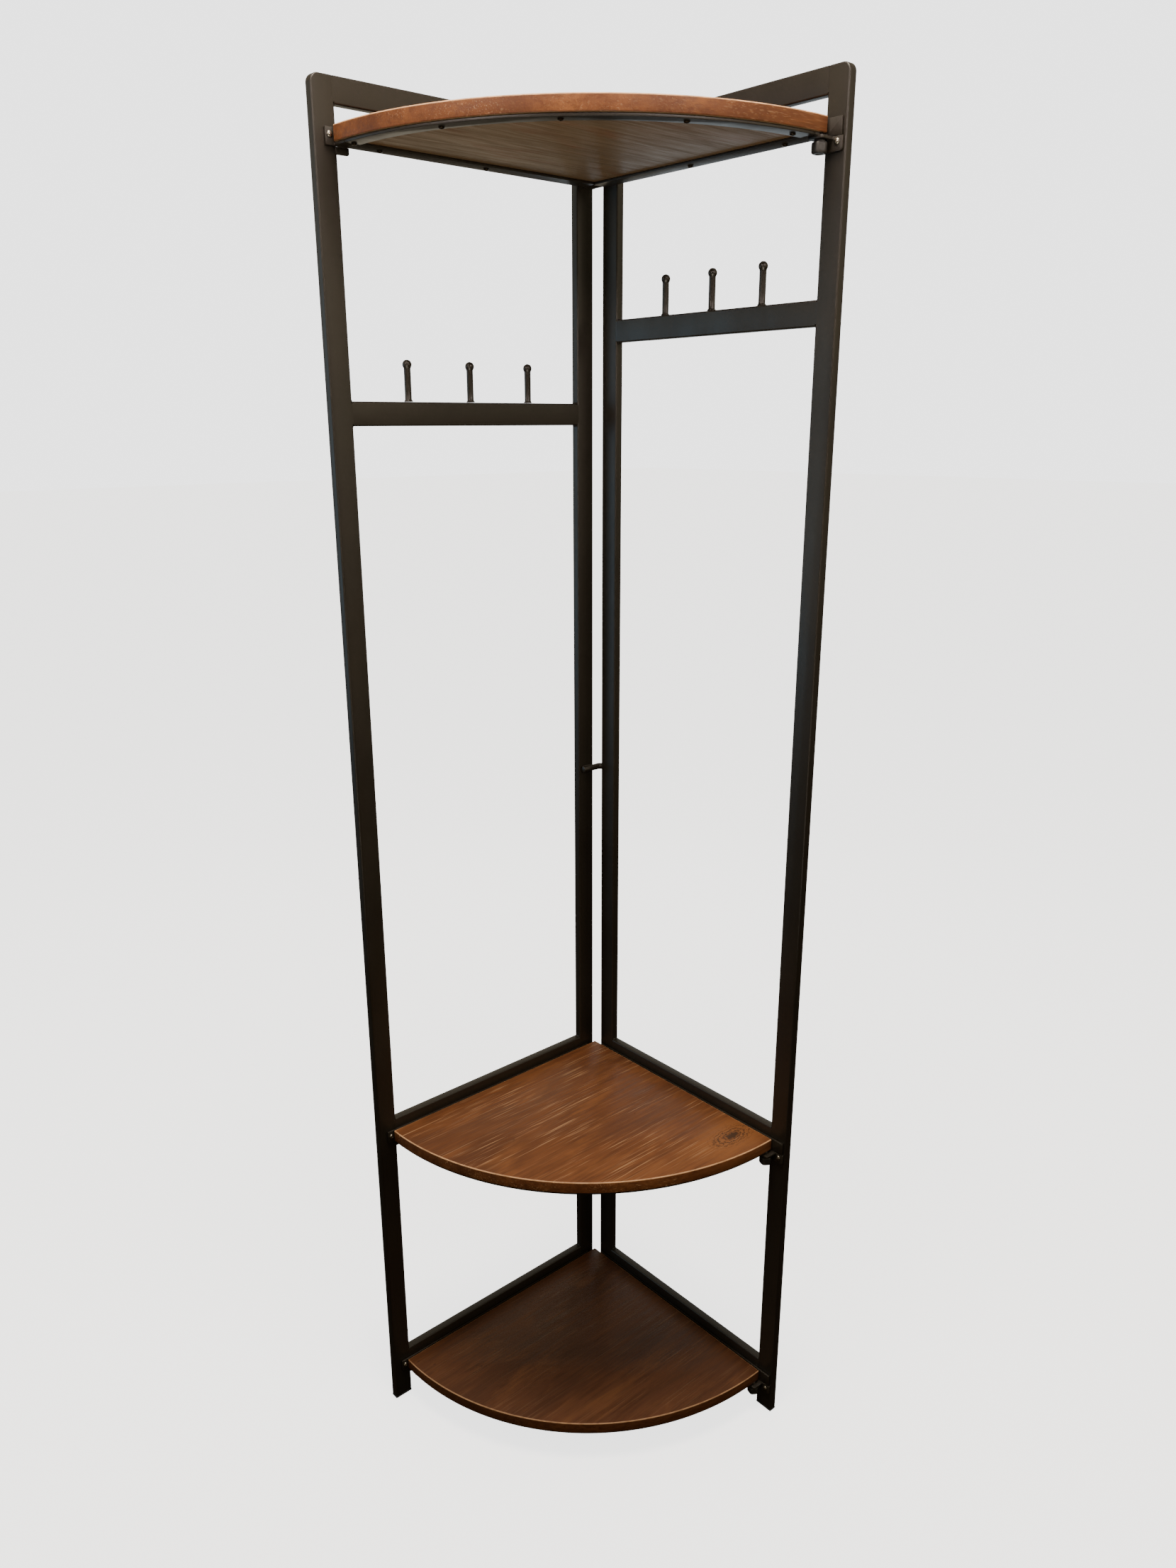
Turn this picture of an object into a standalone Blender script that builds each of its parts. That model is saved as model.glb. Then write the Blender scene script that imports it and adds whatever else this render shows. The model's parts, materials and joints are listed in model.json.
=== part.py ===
"""Corner hall tree: two welded ladder panels of flat tube at a right angle, with three quarter-round wooden shelves."""

import math

import bmesh
import bpy

# ---------------------------------------------------------------- driving sizes, metres
HEIGHT = 1.800
LEFT_REACH = 0.427
RIGHT_REACH = 0.411
LEFT_POST_SETBACK = 0.017
RIGHT_POST_SETBACK = 0.025

TUBE_WIDTH = 0.028
TUBE_DEPTH = 0.012
TUBE_WALL = 0.0015
TUBE_ROUND = 0.0018
TOP_CORNER_ROUND = 0.010

LEFT_HOOK_RAIL_TOP = HEIGHT - 0.336
RIGHT_HOOK_RAIL_TOP = HEIGHT - 0.231
SHELF_TOPS = {"top": HEIGHT - 0.0495, "middle": 0.4765, "bottom": 0.0685}
RAILED_SHELVES = ("middle", "bottom")
RAIL_ABOVE_SHELF = 0.0133

BOARD_THICK = 0.017
BOARD_SETBACK = TUBE_DEPTH + 0.006
BOARD_END_GAP = 0.0205
BOARD_BLUNT_END = 0.007
BOARD_EDGE = 0.0008
BOARD_ARC_STEPS = 40

SHEET = 0.003
FLANGE_WIDTH = 0.0232
STRIP_WIDTH = 0.020
STRIP_SETBACK = 0.0025
ANGLE_TOP_DROP = 0.002

PEG_HEIGHT = 0.0430
PEG_RADIUS = 0.0041
PEG_BALL_RADIUS = 0.0056
LEFT_PEG_PITCH = 0.094
RIGHT_PEG_PITCH = 0.080
PEG_COUNT = 3

LINK_RADIUS = 0.0047
LINK_HEIGHT = 0.524 * HEIGHT
STRAP_HEIGHT = 0.010
STRAP_TOP_DROP = 0.0095
STRAP_ARM = 0.0150
STRAP_JOG = 0.0012

CAP_RIM = 0.004
CAP_PLUG = 0.014

SCREW_ARC_START = 3.4
SCREW_ARC_STEP = 20.1
SCREW_ARC_COUNT = 5
SCREW_STRAIGHT_AT = (0.475, 0.860)
SCREW_RADIUS = 0.0017
SCREW_HEAD_RADIUS = 0.0034
SCREW_HEAD = 0.0020
SCREW_GRIP = 0.014

BOLT_RADIUS = 0.0025
BOLT_HEAD_RADIUS = 0.0036
BOLT_HEAD = 0.0024
BOLT_GRIP = 0.0100

KNOB_RADIUS = 0.0092
KNOB_LOBES = 5
KNOB_LOBE_DEPTH = 0.0009
KNOB_HEIGHT = 0.0135
KNOB_COLLAR = 0.0020
STUD_RADIUS = 0.0030
STUD_LENGTH = 0.0150
KNOB_IN_FROM_BOARD_END = 0.0045

# ---------------------------------------------------------------- clearances, metres
GAP = 0.0003
HOLE_GAP = 0.0003
STUD_GAP = 0.00006

# ---------------------------------------------------------------- derived sizes, metres
CORNER = (-RIGHT_REACH / 2, LEFT_REACH / 2)
FACE = TUBE_DEPTH
LEG_BACK = FACE + GAP
LEG_FRONT = LEG_BACK + SHEET
FLANGE_FRONT = LEG_BACK + FLANGE_WIDTH
LEFT_BOARD_END = LEFT_REACH - BOARD_END_GAP
RIGHT_BOARD_END = RIGHT_REACH - BOARD_END_GAP
LEFT_LEG_END = LEFT_REACH - 0.45 * TUBE_WIDTH
RIGHT_LEG_END = RIGHT_REACH - 0.15 * TUBE_WIDTH
ANGLE_BACK_END = LEG_FRONT + STRAP_ARM + 0.0007
LEFT_BOLT_AT = LEFT_REACH - 0.63 * TUBE_WIDTH
RIGHT_BOLT_AT = RIGHT_REACH - 0.34 * TUBE_WIDTH
LEFT_BOLT_DROP = 0.0095
RIGHT_BOLT_DROP = 0.0262
KNOB_AT = RIGHT_BOARD_END - KNOB_IN_FROM_BOARD_END
KNOB_OUT = LEG_FRONT + KNOB_RADIUS + 0.0007


def origin_xy(x, y):
    """Moves a point measured from the corner of the two panels to the object's own origin."""
    return (x + CORNER[0], y + CORNER[1])


# ---------------------------------------------------------------- scene and helpers
def clear_scene():
    for obj in list(bpy.data.objects):
        bpy.data.objects.remove(obj, do_unlink=True)


def new_collection(name, hidden):
    collection = bpy.data.collections.new(name)
    bpy.context.scene.collection.children.link(collection)
    collection.hide_render = hidden
    return collection


def principled(name, colour, rough, metal):
    made = bpy.data.materials.new(name)
    made.use_nodes = True
    shader = made.node_tree.nodes["Principled BSDF"]
    shader.inputs["Base Color"].default_value = (*colour, 1.0)
    shader.inputs["Roughness"].default_value = rough
    shader.inputs["Metallic"].default_value = metal
    made.diffuse_color = (*colour, 1.0)
    made.roughness = rough
    made.metallic = metal
    return made


def object_from(bm, name, collection, material):
    bm.normal_update()
    bmesh.ops.recalc_face_normals(bm, faces=bm.faces)
    mesh = bpy.data.meshes.new(name)
    bm.to_mesh(mesh)
    bm.free()
    obj = bpy.data.objects.new(name, mesh)
    collection.objects.link(obj)
    if material is not None:
        mesh.materials.append(material)
    return obj


def round_edges(bm, edges, radius, steps):
    if edges and radius > 0:
        bmesh.ops.bevel(
            bm,
            geom=edges,
            offset=radius,
            offset_type="OFFSET",
            segments=steps,
            profile=0.5,
            affect="EDGES",
            clamp_overlap=True,
        )


def sharp_edges(bm, least=math.radians(30)):
    bm.normal_update()
    return [e for e in bm.edges if len(e.link_faces) == 2 and e.calc_face_angle() > least]


def prism_mesh(outline, depth):
    """A flat outline in local XY, thickened upwards along local Z."""
    bm = bmesh.new()
    low = [bm.verts.new((x, y, 0.0)) for x, y in outline]
    high = [bm.verts.new((x, y, depth)) for x, y in outline]
    count = len(outline)
    bm.faces.new(low[::-1])
    bm.faces.new(high)
    for i in range(count):
        j = (i + 1) % count
        bm.faces.new((low[i], low[j], high[j], high[i]))
    return bm


def box_mesh(low, high):
    bm = bmesh.new()
    bmesh.ops.create_cube(bm, size=1.0)
    for vert in bm.verts:
        for axis in range(3):
            middle = (low[axis] + high[axis]) / 2
            vert.co[axis] = middle + vert.co[axis] * (high[axis] - low[axis])
    return bm


def box(name, low, high, radius, steps, collection, material):
    bm = box_mesh(low, high)
    round_edges(bm, list(bm.edges), radius, steps)
    return object_from(bm, name, collection, material)


def cutter_box(name, low, high):
    obj = box(name, low, high, 0.0, 1, CUTTERS, None)
    obj.hide_render = True
    obj.display_type = "WIRE"
    return obj


def rod_mesh(start, axis, radius, length, sides):
    """A plain cylinder from a point along world axis 0, 1 or 2; a negative length runs backwards."""
    bm = bmesh.new()
    bmesh.ops.create_cone(
        bm, cap_ends=True, segments=sides, radius1=radius, radius2=radius, depth=abs(length)
    )
    for vert in bm.verts:
        x, y, z = vert.co
        z += length / 2
        vert.co = ((z, x, y), (y, z, x), (x, y, z))[axis]
        for i in range(3):
            vert.co[i] += start[i]
    return bm


def cutter_rod(name, start, axis, radius, length):
    obj = object_from(rod_mesh(start, axis, radius, length, 20), name, CUTTERS, None)
    obj.hide_render = True
    obj.display_type = "WIRE"
    return obj


def boolean(obj, other, operation):
    made = obj.modifiers.new(operation.title(), "BOOLEAN")
    made.operation = operation
    made.solver = "EXACT"
    made.object = other


def shade_round(obj, degrees=35):
    mesh = obj.data
    mesh.polygons.foreach_set("use_smooth", [True] * len(mesh.polygons))
    mesh.set_sharp_from_angle(angle=math.radians(degrees))


def turned(name, profile, steps, collection, material):
    """A shape turned round local Z from an open profile, given from its top to its bottom."""
    mesh = bpy.data.meshes.new(name)
    mesh.from_pydata([(r, 0.0, z) for r, z in profile], [(i, i + 1) for i in range(len(profile) - 1)], [])
    obj = bpy.data.objects.new(name, mesh)
    collection.objects.link(obj)
    mesh.materials.append(material)
    screw = obj.modifiers.new("Turn", "SCREW")
    screw.axis = "Z"
    screw.angle = math.tau
    screw.steps = steps
    screw.render_steps = steps
    screw.use_merge_vertices = True
    screw.merge_threshold = 0.00005
    screw.use_smooth_shade = True
    return obj


# ---------------------------------------------------------------- panels
def across(side, start, end, inner, outer):
    """Low and high corners, in plan, of a box on one panel.

    start and end are measured from the corner along the panel; inner and outer are measured from the
    panel's outer plane towards the room.
    """
    if side == "left":
        a = origin_xy(inner, -end)
        b = origin_xy(outer, -start)
    else:
        a = origin_xy(start, -outer)
        b = origin_xy(end, -inner)
    return a, b


def panel_box(side, start, end, inner, outer, bottom, top):
    a, b = across(side, start, end, inner, outer)
    return (a[0], a[1], bottom), (b[0], b[1], top)


def setback(side):
    return LEFT_POST_SETBACK if side == "left" else RIGHT_POST_SETBACK


def reach(side):
    return LEFT_REACH if side == "left" else RIGHT_REACH


def make_post(side, place):
    """Upright tube, open below for its cap; the outer one has a rounded top corner."""
    if place == "outer":
        start, end = reach(side) - TUBE_WIDTH, reach(side)
    else:
        start, end = setback(side), setback(side) + TUBE_WIDTH
    low, high = panel_box(side, start, end, 0.0, TUBE_DEPTH, CAP_RIM + GAP, HEIGHT)
    bm = box_mesh(low, high)
    corner_axis = 1 if side == "left" else 0
    far = low[1] if side == "left" else high[0]
    near = high[1] if side == "left" else low[0]
    edge_at = far if place == "outer" else near
    through = 0 if side == "left" else 1
    top_edges = [
        e
        for e in bm.edges
        if all(abs(v.co.z - HEIGHT) < 1e-6 and abs(v.co[corner_axis] - edge_at) < 1e-6 for v in e.verts)
        and abs(e.verts[0].co[through] - e.verts[1].co[through]) > 1e-4
    ]
    round_edges(bm, top_edges, TOP_CORNER_ROUND, 5)
    round_edges(bm, sharp_edges(bm), TUBE_ROUND, 2)
    post = object_from(bm, f"{side}_{place}_post", PARTS, MATERIALS["steel"])
    shade_round(post)
    inside = panel_box(
        side,
        start + TUBE_WALL,
        end - TUBE_WALL,
        TUBE_WALL,
        TUBE_DEPTH - TUBE_WALL,
        -0.02,
        HEIGHT - TOP_CORNER_ROUND - 0.002,
    )
    boolean(post, cutter_box(f"bore_{post.name}", *inside), "DIFFERENCE")
    return post


def make_rail(side, name, top):
    """Flat tube between the posts of one panel, open at both ends."""
    start = setback(side) + TUBE_WIDTH + GAP
    end = reach(side) - TUBE_WIDTH - GAP
    low, high = panel_box(side, start, end, 0.0, TUBE_DEPTH, top - TUBE_WIDTH, top)
    bm = box_mesh(low, high)
    along = 1 if side == "left" else 0
    long_edges = [e for e in bm.edges if abs(e.verts[0].co[along] - e.verts[1].co[along]) > 1e-4]
    round_edges(bm, long_edges, TUBE_ROUND, 2)
    rail = object_from(bm, f"{side}_{name}_rail", PARTS, MATERIALS["steel"])
    shade_round(rail)
    inside = panel_box(
        side,
        start - 0.01,
        end + 0.01,
        TUBE_WALL,
        TUBE_DEPTH - TUBE_WALL,
        top - TUBE_WIDTH + TUBE_WALL,
        top - TUBE_WALL,
    )
    boolean(rail, cutter_box(f"bore_{rail.name}", *inside), "DIFFERENCE")


def make_cap(side, place):
    """Plastic end cap: a rim that the post stands on and a plug inside the post."""
    if place == "outer":
        start, end = reach(side) - TUBE_WIDTH, reach(side)
    else:
        start, end = setback(side), setback(side) + TUBE_WIDTH
    low, high = panel_box(side, start, end, 0.0, TUBE_DEPTH, 0.0, CAP_RIM)
    cap = box(f"{side}_{place}_foot_cap", low, high, 0.0012, 2, PARTS, MATERIALS["plastic"])
    inset = TUBE_WALL + GAP
    low, high = panel_box(
        side, start + inset, end - inset, inset, TUBE_DEPTH - inset, CAP_RIM - 0.002, CAP_RIM + CAP_PLUG
    )
    plug = box(f"plug_{cap.name}", low, high, 0.0008, 1, CUTTERS, MATERIALS["plastic"])
    plug.hide_render = True
    plug.display_type = "WIRE"
    boolean(cap, plug, "UNION")


# ---------------------------------------------------------------- pegs and links
def make_pegs(side, rail_top, pitch):
    """Upright pegs with ball ends, welded on top of a hook rail."""
    middle = (setback(side) + reach(side)) / 2
    for index in range(PEG_COUNT):
        along = middle + (index - (PEG_COUNT - 1) / 2) * pitch
        ball = [
            (
                PEG_BALL_RADIUS * math.sin(math.radians(a)),
                PEG_HEIGHT + PEG_BALL_RADIUS * math.cos(math.radians(a)),
            )
            for a in range(0, 136, 15)
        ]
        neck = math.asin(PEG_RADIUS / PEG_BALL_RADIUS)
        ball = [p for p in ball if p[1] > PEG_HEIGHT - PEG_BALL_RADIUS * math.cos(neck) + 0.0002]
        ball.append((PEG_RADIUS, PEG_HEIGHT - PEG_BALL_RADIUS * math.cos(neck)))
        profile = [*ball, (PEG_RADIUS, 0.003), (PEG_RADIUS + 0.0012, GAP), (0.0, GAP)]
        peg = turned(f"{side}_peg_{index + 1}", profile, 16, PARTS, MATERIALS["steel"])
        if side == "left":
            x, y = origin_xy(TUBE_DEPTH / 2, -along)
        else:
            x, y = origin_xy(along, -TUBE_DEPTH / 2)
        peg.location = (x, y, rail_top)


def make_middle_link():
    """Bent round bar from the face of the left inner post to the edge of the right inner post."""
    line = FACE + GAP + LINK_RADIUS
    tail = 0.001
    bend = RIGHT_POST_SETBACK - GAP - line - tail
    start = -(LEFT_POST_SETBACK + 0.86 * TUBE_WIDTH)
    turn_from = -TUBE_DEPTH / 2 - bend
    points = [(line, start), (line, (start + turn_from) / 2)]
    for step in range(9):
        angle = math.radians(90 * step / 8)
        points.append((line + bend * (1 - math.cos(angle)), turn_from + bend * math.sin(angle)))
    points.append((line + bend + tail, turn_from + bend))
    curve = bpy.data.curves.new("middle_corner_link_path", "CURVE")
    curve.dimensions = "3D"
    curve.bevel_depth = LINK_RADIUS
    curve.bevel_resolution = 3
    curve.use_fill_caps = True
    spline = curve.splines.new("POLY")
    spline.points.add(len(points) - 1)
    for point, (x, y) in zip(spline.points, points):
        point.co = (*origin_xy(x, y), LINK_HEIGHT, 1.0)
    holder = bpy.data.objects.new("link_path", curve)
    CUTTERS.objects.link(holder)
    holder.hide_render = True
    bpy.context.view_layer.update()
    mesh = bpy.data.meshes.new_from_object(holder)
    bm = bmesh.new()
    bm.from_mesh(mesh)
    bmesh.ops.remove_doubles(bm, verts=bm.verts, dist=0.00001)
    link = object_from(bm, "middle_corner_link", PARTS, MATERIALS["steel"])
    bpy.data.objects.remove(holder)
    shade_round(link, 50)


def make_top_strap():
    """Flat strap in the inside corner: its left end butts the left inner post, its right end laps the right one."""
    top = SHELF_TOPS["top"] - STRAP_TOP_DROP
    butt = LEFT_POST_SETBACK - GAP
    end = LEG_FRONT + STRAP_ARM
    outline = [
        (0.25 * FACE, -butt),
        (FACE, -butt),
        (FACE + 2 * STRAP_JOG, -LEG_FRONT),
        (end, -LEG_FRONT),
        (end, -LEG_BACK),
        (FACE + STRAP_JOG, -LEG_BACK),
        (FACE - STRAP_JOG, -(butt - SHEET)),
        (0.25 * FACE, -(butt - SHEET)),
    ]
    outline = [origin_xy(x, y) for x, y in outline]
    bm = prism_mesh(outline, STRAP_HEIGHT)
    bmesh.ops.translate(bm, vec=(0.0, 0.0, top - STRAP_HEIGHT), verts=bm.verts)
    object_from(bm, "top_corner_strap", PARTS, MATERIALS["steel"])


# ---------------------------------------------------------------- shelves
def front_axes(inset=0.0):
    """Centre and half-axes of the front curve, brought in by a margin."""
    side_left = LEFT_BOARD_END - BOARD_SETBACK
    side_right = RIGHT_BOARD_END - BOARD_SETBACK
    across_x = side_right
    across_y = side_left
    for _ in range(6):
        across_x = side_right / math.sqrt(1 - (BOARD_BLUNT_END / across_y) ** 2)
        across_y = side_left / math.sqrt(1 - (BOARD_BLUNT_END / across_x) ** 2)
    return BOARD_SETBACK, -BOARD_SETBACK, across_x - inset, across_y - inset


def front_arc(inset, from_x, to_y, steps):
    """Points of the front curve from distance from_x off the left panel to to_y off the right one."""
    cx, cy, ax, ay = front_axes(inset)
    first = math.asin((from_x - cx) / ax)
    last = math.acos((to_y + cy) / ay)
    points = []
    for step in range(steps + 1):
        angle = first + (last - first) * step / steps
        points.append((cx + ax * math.sin(angle), cy - ay * math.cos(angle)))
    return points


def board_outline():
    arc = front_arc(
        0.0, BOARD_SETBACK + BOARD_BLUNT_END, BOARD_SETBACK + BOARD_BLUNT_END, BOARD_ARC_STEPS
    )
    outline = [(BOARD_SETBACK, -BOARD_SETBACK), (BOARD_SETBACK, -LEFT_BOARD_END)]
    outline += arc
    outline.append((RIGHT_BOARD_END, -BOARD_SETBACK))
    return [origin_xy(x, y) for x, y in outline]


def screw_places():
    """Name and plan position, from the corner, of each screw of one shelf."""
    cx, cy, ax, ay = front_axes(STRIP_SETBACK + STRIP_WIDTH / 2)
    places = []
    for index in range(SCREW_ARC_COUNT):
        angle = math.radians(SCREW_ARC_START + SCREW_ARC_STEP * index)
        x = cx + ax * math.sin(angle)
        y = cy - ay * math.cos(angle)
        places.append((f"front_{index + 1}", x, y))
    flange = (LEG_FRONT + FLANGE_FRONT) / 2
    for index, part in enumerate(SCREW_STRAIGHT_AT):
        along_left = BOARD_SETBACK + part * (LEFT_BOARD_END - BOARD_SETBACK)
        along_right = BOARD_SETBACK + part * (RIGHT_BOARD_END - BOARD_SETBACK)
        places.append((f"left_{index + 1}", flange, -along_left))
        places.append((f"right_{index + 1}", along_right, -flange))
    return places


def frame_top(level):
    return SHELF_TOPS[level] - BOARD_THICK - GAP


def frame_bottom(level):
    return frame_top(level) - SHEET


def make_board(level):
    """Quarter-round board with a short blunt end at each side, drilled from below for its screws."""
    bm = prism_mesh(board_outline(), BOARD_THICK)
    bottom = SHELF_TOPS[level] - BOARD_THICK
    bmesh.ops.translate(bm, vec=(0.0, 0.0, bottom), verts=bm.verts)
    round_edges(bm, sharp_edges(bm), BOARD_EDGE, 1)
    board = object_from(bm, f"{level}_shelf_board", PARTS, MATERIALS["wood"])
    for name, x, y in screw_places():
        start = (*origin_xy(x, y), bottom - 0.001)
        depth = SCREW_GRIP - SHEET - GAP + 0.001 + HOLE_GAP
        boolean(
            board, cutter_rod(f"pilot_{level}_{name}", start, 2, SCREW_RADIUS + HOLE_GAP, depth), "DIFFERENCE"
        )
    start = (*origin_xy(KNOB_AT, -KNOB_OUT), bottom - 0.001)
    depth = STUD_LENGTH - 2 * (SHEET + GAP) + 0.001 + HOLE_GAP
    boolean(board, cutter_rod(f"socket_{level}", start, 2, STUD_RADIUS + HOLE_GAP, depth), "DIFFERENCE")


def drill(obj, level, wanted):
    """Screw holes through a frame member, for the screws whose names start with wanted."""
    for name, x, y in screw_places():
        if name.startswith(wanted):
            start = (*origin_xy(x, y), frame_bottom(level) - 0.002)
            hole = cutter_rod(
                f"hole_{obj.name}_{name}", start, 2, SCREW_RADIUS + HOLE_GAP, SHEET + 0.004
            )
            boolean(obj, hole, "DIFFERENCE")


def make_angle(level, side):
    """Angle along one straight edge: an upright leg behind the board and a flange under it."""
    leg_end = LEFT_LEG_END if side == "left" else RIGHT_LEG_END
    board_end = (LEFT_BOARD_END if side == "left" else RIGHT_BOARD_END) - STRIP_SETBACK
    bottom, top = frame_bottom(level), SHELF_TOPS[level] - ANGLE_TOP_DROP
    low, high = panel_box(side, ANGLE_BACK_END, leg_end, LEG_BACK, LEG_FRONT, bottom, top)
    angle = box(f"{level}_shelf_{side}_angle", low, high, 0.0, 1, PARTS, MATERIALS["steel"])
    flange_back_end = FLANGE_FRONT + GAP if side == "left" else ANGLE_BACK_END
    low, high = panel_box(
        side, flange_back_end, board_end, LEG_BACK, FLANGE_FRONT, bottom, frame_top(level)
    )
    flange = cutter_box(f"flange_{angle.name}", low, high)
    boolean(angle, flange, "UNION")
    drill(angle, level, side)
    if side == "left":
        start = (*origin_xy(LEG_BACK - 0.002, -LEFT_BOLT_AT), SHELF_TOPS[level] - LEFT_BOLT_DROP)
        boolean(
            angle, cutter_rod(f"leg_hole_{level}", start, 0, BOLT_RADIUS + HOLE_GAP, 0.008), "DIFFERENCE"
        )
    else:
        start = (*origin_xy(KNOB_AT, -KNOB_OUT), bottom - 0.002)
        hole = cutter_rod(f"stud_hole_{level}", start, 2, STUD_RADIUS + HOLE_GAP, SHEET + 0.004)
        boolean(angle, hole, "DIFFERENCE")


def make_front_strip(level):
    """Curved flat bar under the front edge, between the two flanges."""
    inner = FLANGE_FRONT + GAP
    outer_arc = front_arc(STRIP_SETBACK, inner, inner, 26)
    inner_arc = front_arc(STRIP_SETBACK + STRIP_WIDTH, inner, inner, 26)
    outline = [origin_xy(x, y) for x, y in [*outer_arc, *inner_arc[::-1]]]
    bm = prism_mesh(outline, SHEET)
    bmesh.ops.translate(bm, vec=(0.0, 0.0, frame_bottom(level)), verts=bm.verts)
    strip = object_from(bm, f"{level}_shelf_front_strip", PARTS, MATERIALS["steel"])
    drill(strip, level, "front")


def make_lugs(level):
    """Left tab below the flange; right bent lug with a face plate on the post and an ear under the flange."""
    top = frame_bottom(level) - GAP
    start = LEFT_REACH - TUBE_WIDTH - 0.0135
    low, high = panel_box("left", start, start + 0.017, LEG_BACK, LEG_FRONT, top - 0.0078, top)
    box(f"{level}_shelf_left_tab", low, high, 0.0004, 1, PARTS, MATERIALS["steel"])

    low, high = panel_box(
        "right", KNOB_AT - 0.0085, RIGHT_REACH - 0.0025, LEG_BACK, LEG_FRONT, top - 0.0150, top
    )
    lug = box(f"{level}_shelf_right_lug", low, high, 0.0004, 1, PARTS, MATERIALS["steel"])
    low, high = panel_box(
        "right", KNOB_AT - 0.0105, KNOB_AT + 0.0095, LEG_BACK + 0.0010, KNOB_OUT + 0.0085, top - SHEET, top
    )
    ear = cutter_box(f"ear_{level}", low, high)
    boolean(lug, ear, "UNION")
    start = (*origin_xy(KNOB_AT, -KNOB_OUT), top - SHEET - 0.002)
    boolean(
        lug, cutter_rod(f"ear_hole_{level}", start, 2, STUD_RADIUS + HOLE_GAP, SHEET + 0.004), "DIFFERENCE"
    )
    start = (*origin_xy(RIGHT_BOLT_AT, -LEG_BACK + 0.002), SHELF_TOPS[level] - RIGHT_BOLT_DROP)
    boolean(
        lug, cutter_rod(f"lug_hole_{level}", start, 1, BOLT_RADIUS + HOLE_GAP, -0.008), "DIFFERENCE"
    )


def make_bolt(level, side):
    """Dome-headed bolt through the frame into the near wall of the outer post."""
    dome = [
        (BOLT_HEAD_RADIUS * math.sin(a), BOLT_HEAD * math.cos(a))
        for a in (0.0, 0.35, 0.70, 1.05, 1.35, math.pi / 2)
    ]
    profile = [*dome, (BOLT_RADIUS, 0.0), (BOLT_RADIUS, -BOLT_GRIP), (0.0, -BOLT_GRIP)]
    bolt = turned(f"{level}_shelf_{side}_bolt", profile, 20, PARTS, MATERIALS["zinc"])
    if side == "left":
        x, y = origin_xy(LEG_FRONT + GAP, -LEFT_BOLT_AT)
        bolt.location = (x, y, SHELF_TOPS[level] - LEFT_BOLT_DROP)
        bolt.rotation_euler = (0.0, math.pi / 2, 0.0)
    else:
        x, y = origin_xy(RIGHT_BOLT_AT, -(LEG_FRONT + GAP))
        bolt.location = (x, y, SHELF_TOPS[level] - RIGHT_BOLT_DROP)
        bolt.rotation_euler = (math.pi / 2, 0.0, 0.0)


def bolt_hole(post, side, level):
    """Hole for the bolt in the near wall of an outer post."""
    if side == "left":
        start = (*origin_xy(FACE + 0.002, -LEFT_BOLT_AT), SHELF_TOPS[level] - LEFT_BOLT_DROP)
        hole = cutter_rod(f"post_hole_left_{level}", start, 0, BOLT_RADIUS + HOLE_GAP, -0.0060)
    else:
        start = (*origin_xy(RIGHT_BOLT_AT, -FACE - 0.002), SHELF_TOPS[level] - RIGHT_BOLT_DROP)
        hole = cutter_rod(f"post_hole_right_{level}", start, 1, BOLT_RADIUS + HOLE_GAP, 0.0060)
    boolean(post, hole, "DIFFERENCE")


def make_knob(level):
    """Lobed thumb knob with its stud, turning about the vertical axis of the stud."""
    outline = []
    steps = KNOB_LOBES * 10
    for step in range(steps):
        angle = math.tau * step / steps
        radius = KNOB_RADIUS - KNOB_LOBE_DEPTH * (1 - math.cos(KNOB_LOBES * angle)) / 2
        outline.append((radius * math.cos(angle), radius * math.sin(angle)))
    bm = prism_mesh(outline, KNOB_HEIGHT - KNOB_COLLAR)
    bmesh.ops.translate(bm, vec=(0.0, 0.0, -KNOB_HEIGHT), verts=bm.verts)
    round_edges(bm, sharp_edges(bm, math.radians(60)), 0.0012, 2)
    knob = object_from(bm, f"{level}_shelf_knob", PARTS, MATERIALS["knob"])
    shade_round(knob)
    collar = object_from(
        rod_mesh((0.0, 0.0, -KNOB_COLLAR - 0.001), 2, 0.0062, KNOB_COLLAR + 0.001, 28),
        f"collar_{level}",
        CUTTERS,
        None,
    )
    stud = object_from(
        rod_mesh((0.0, 0.0, -0.004), 2, STUD_RADIUS, STUD_LENGTH + 0.004, 20),
        f"stud_{level}",
        CUTTERS,
        None,
    )
    x, y = origin_xy(KNOB_AT, -KNOB_OUT)
    height = frame_bottom(level) - 2 * GAP - SHEET
    for helper in (collar, stud):
        helper.hide_render = True
        helper.display_type = "WIRE"
        helper.location = (x, y, height)
        boolean(knob, helper, "UNION")
    knob.location = (x, y, height)


def make_screws(level):
    """Pan-head screws from below, through the frame into the board."""
    for name, x, y in screw_places():
        profile = [
            (0.0, SCREW_GRIP),
            (SCREW_RADIUS, SCREW_GRIP),
            (SCREW_RADIUS, 0.0),
            (SCREW_HEAD_RADIUS, 0.0),
            (SCREW_HEAD_RADIUS, -0.45 * SCREW_HEAD),
            (0.75 * SCREW_HEAD_RADIUS, -0.85 * SCREW_HEAD),
            (0.0, -SCREW_HEAD),
        ]
        screw = turned(f"{level}_shelf_screw_{name}", profile, 14, PARTS, MATERIALS["screw"])
        screw.location = (*origin_xy(x, y), frame_bottom(level) - GAP)


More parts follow.
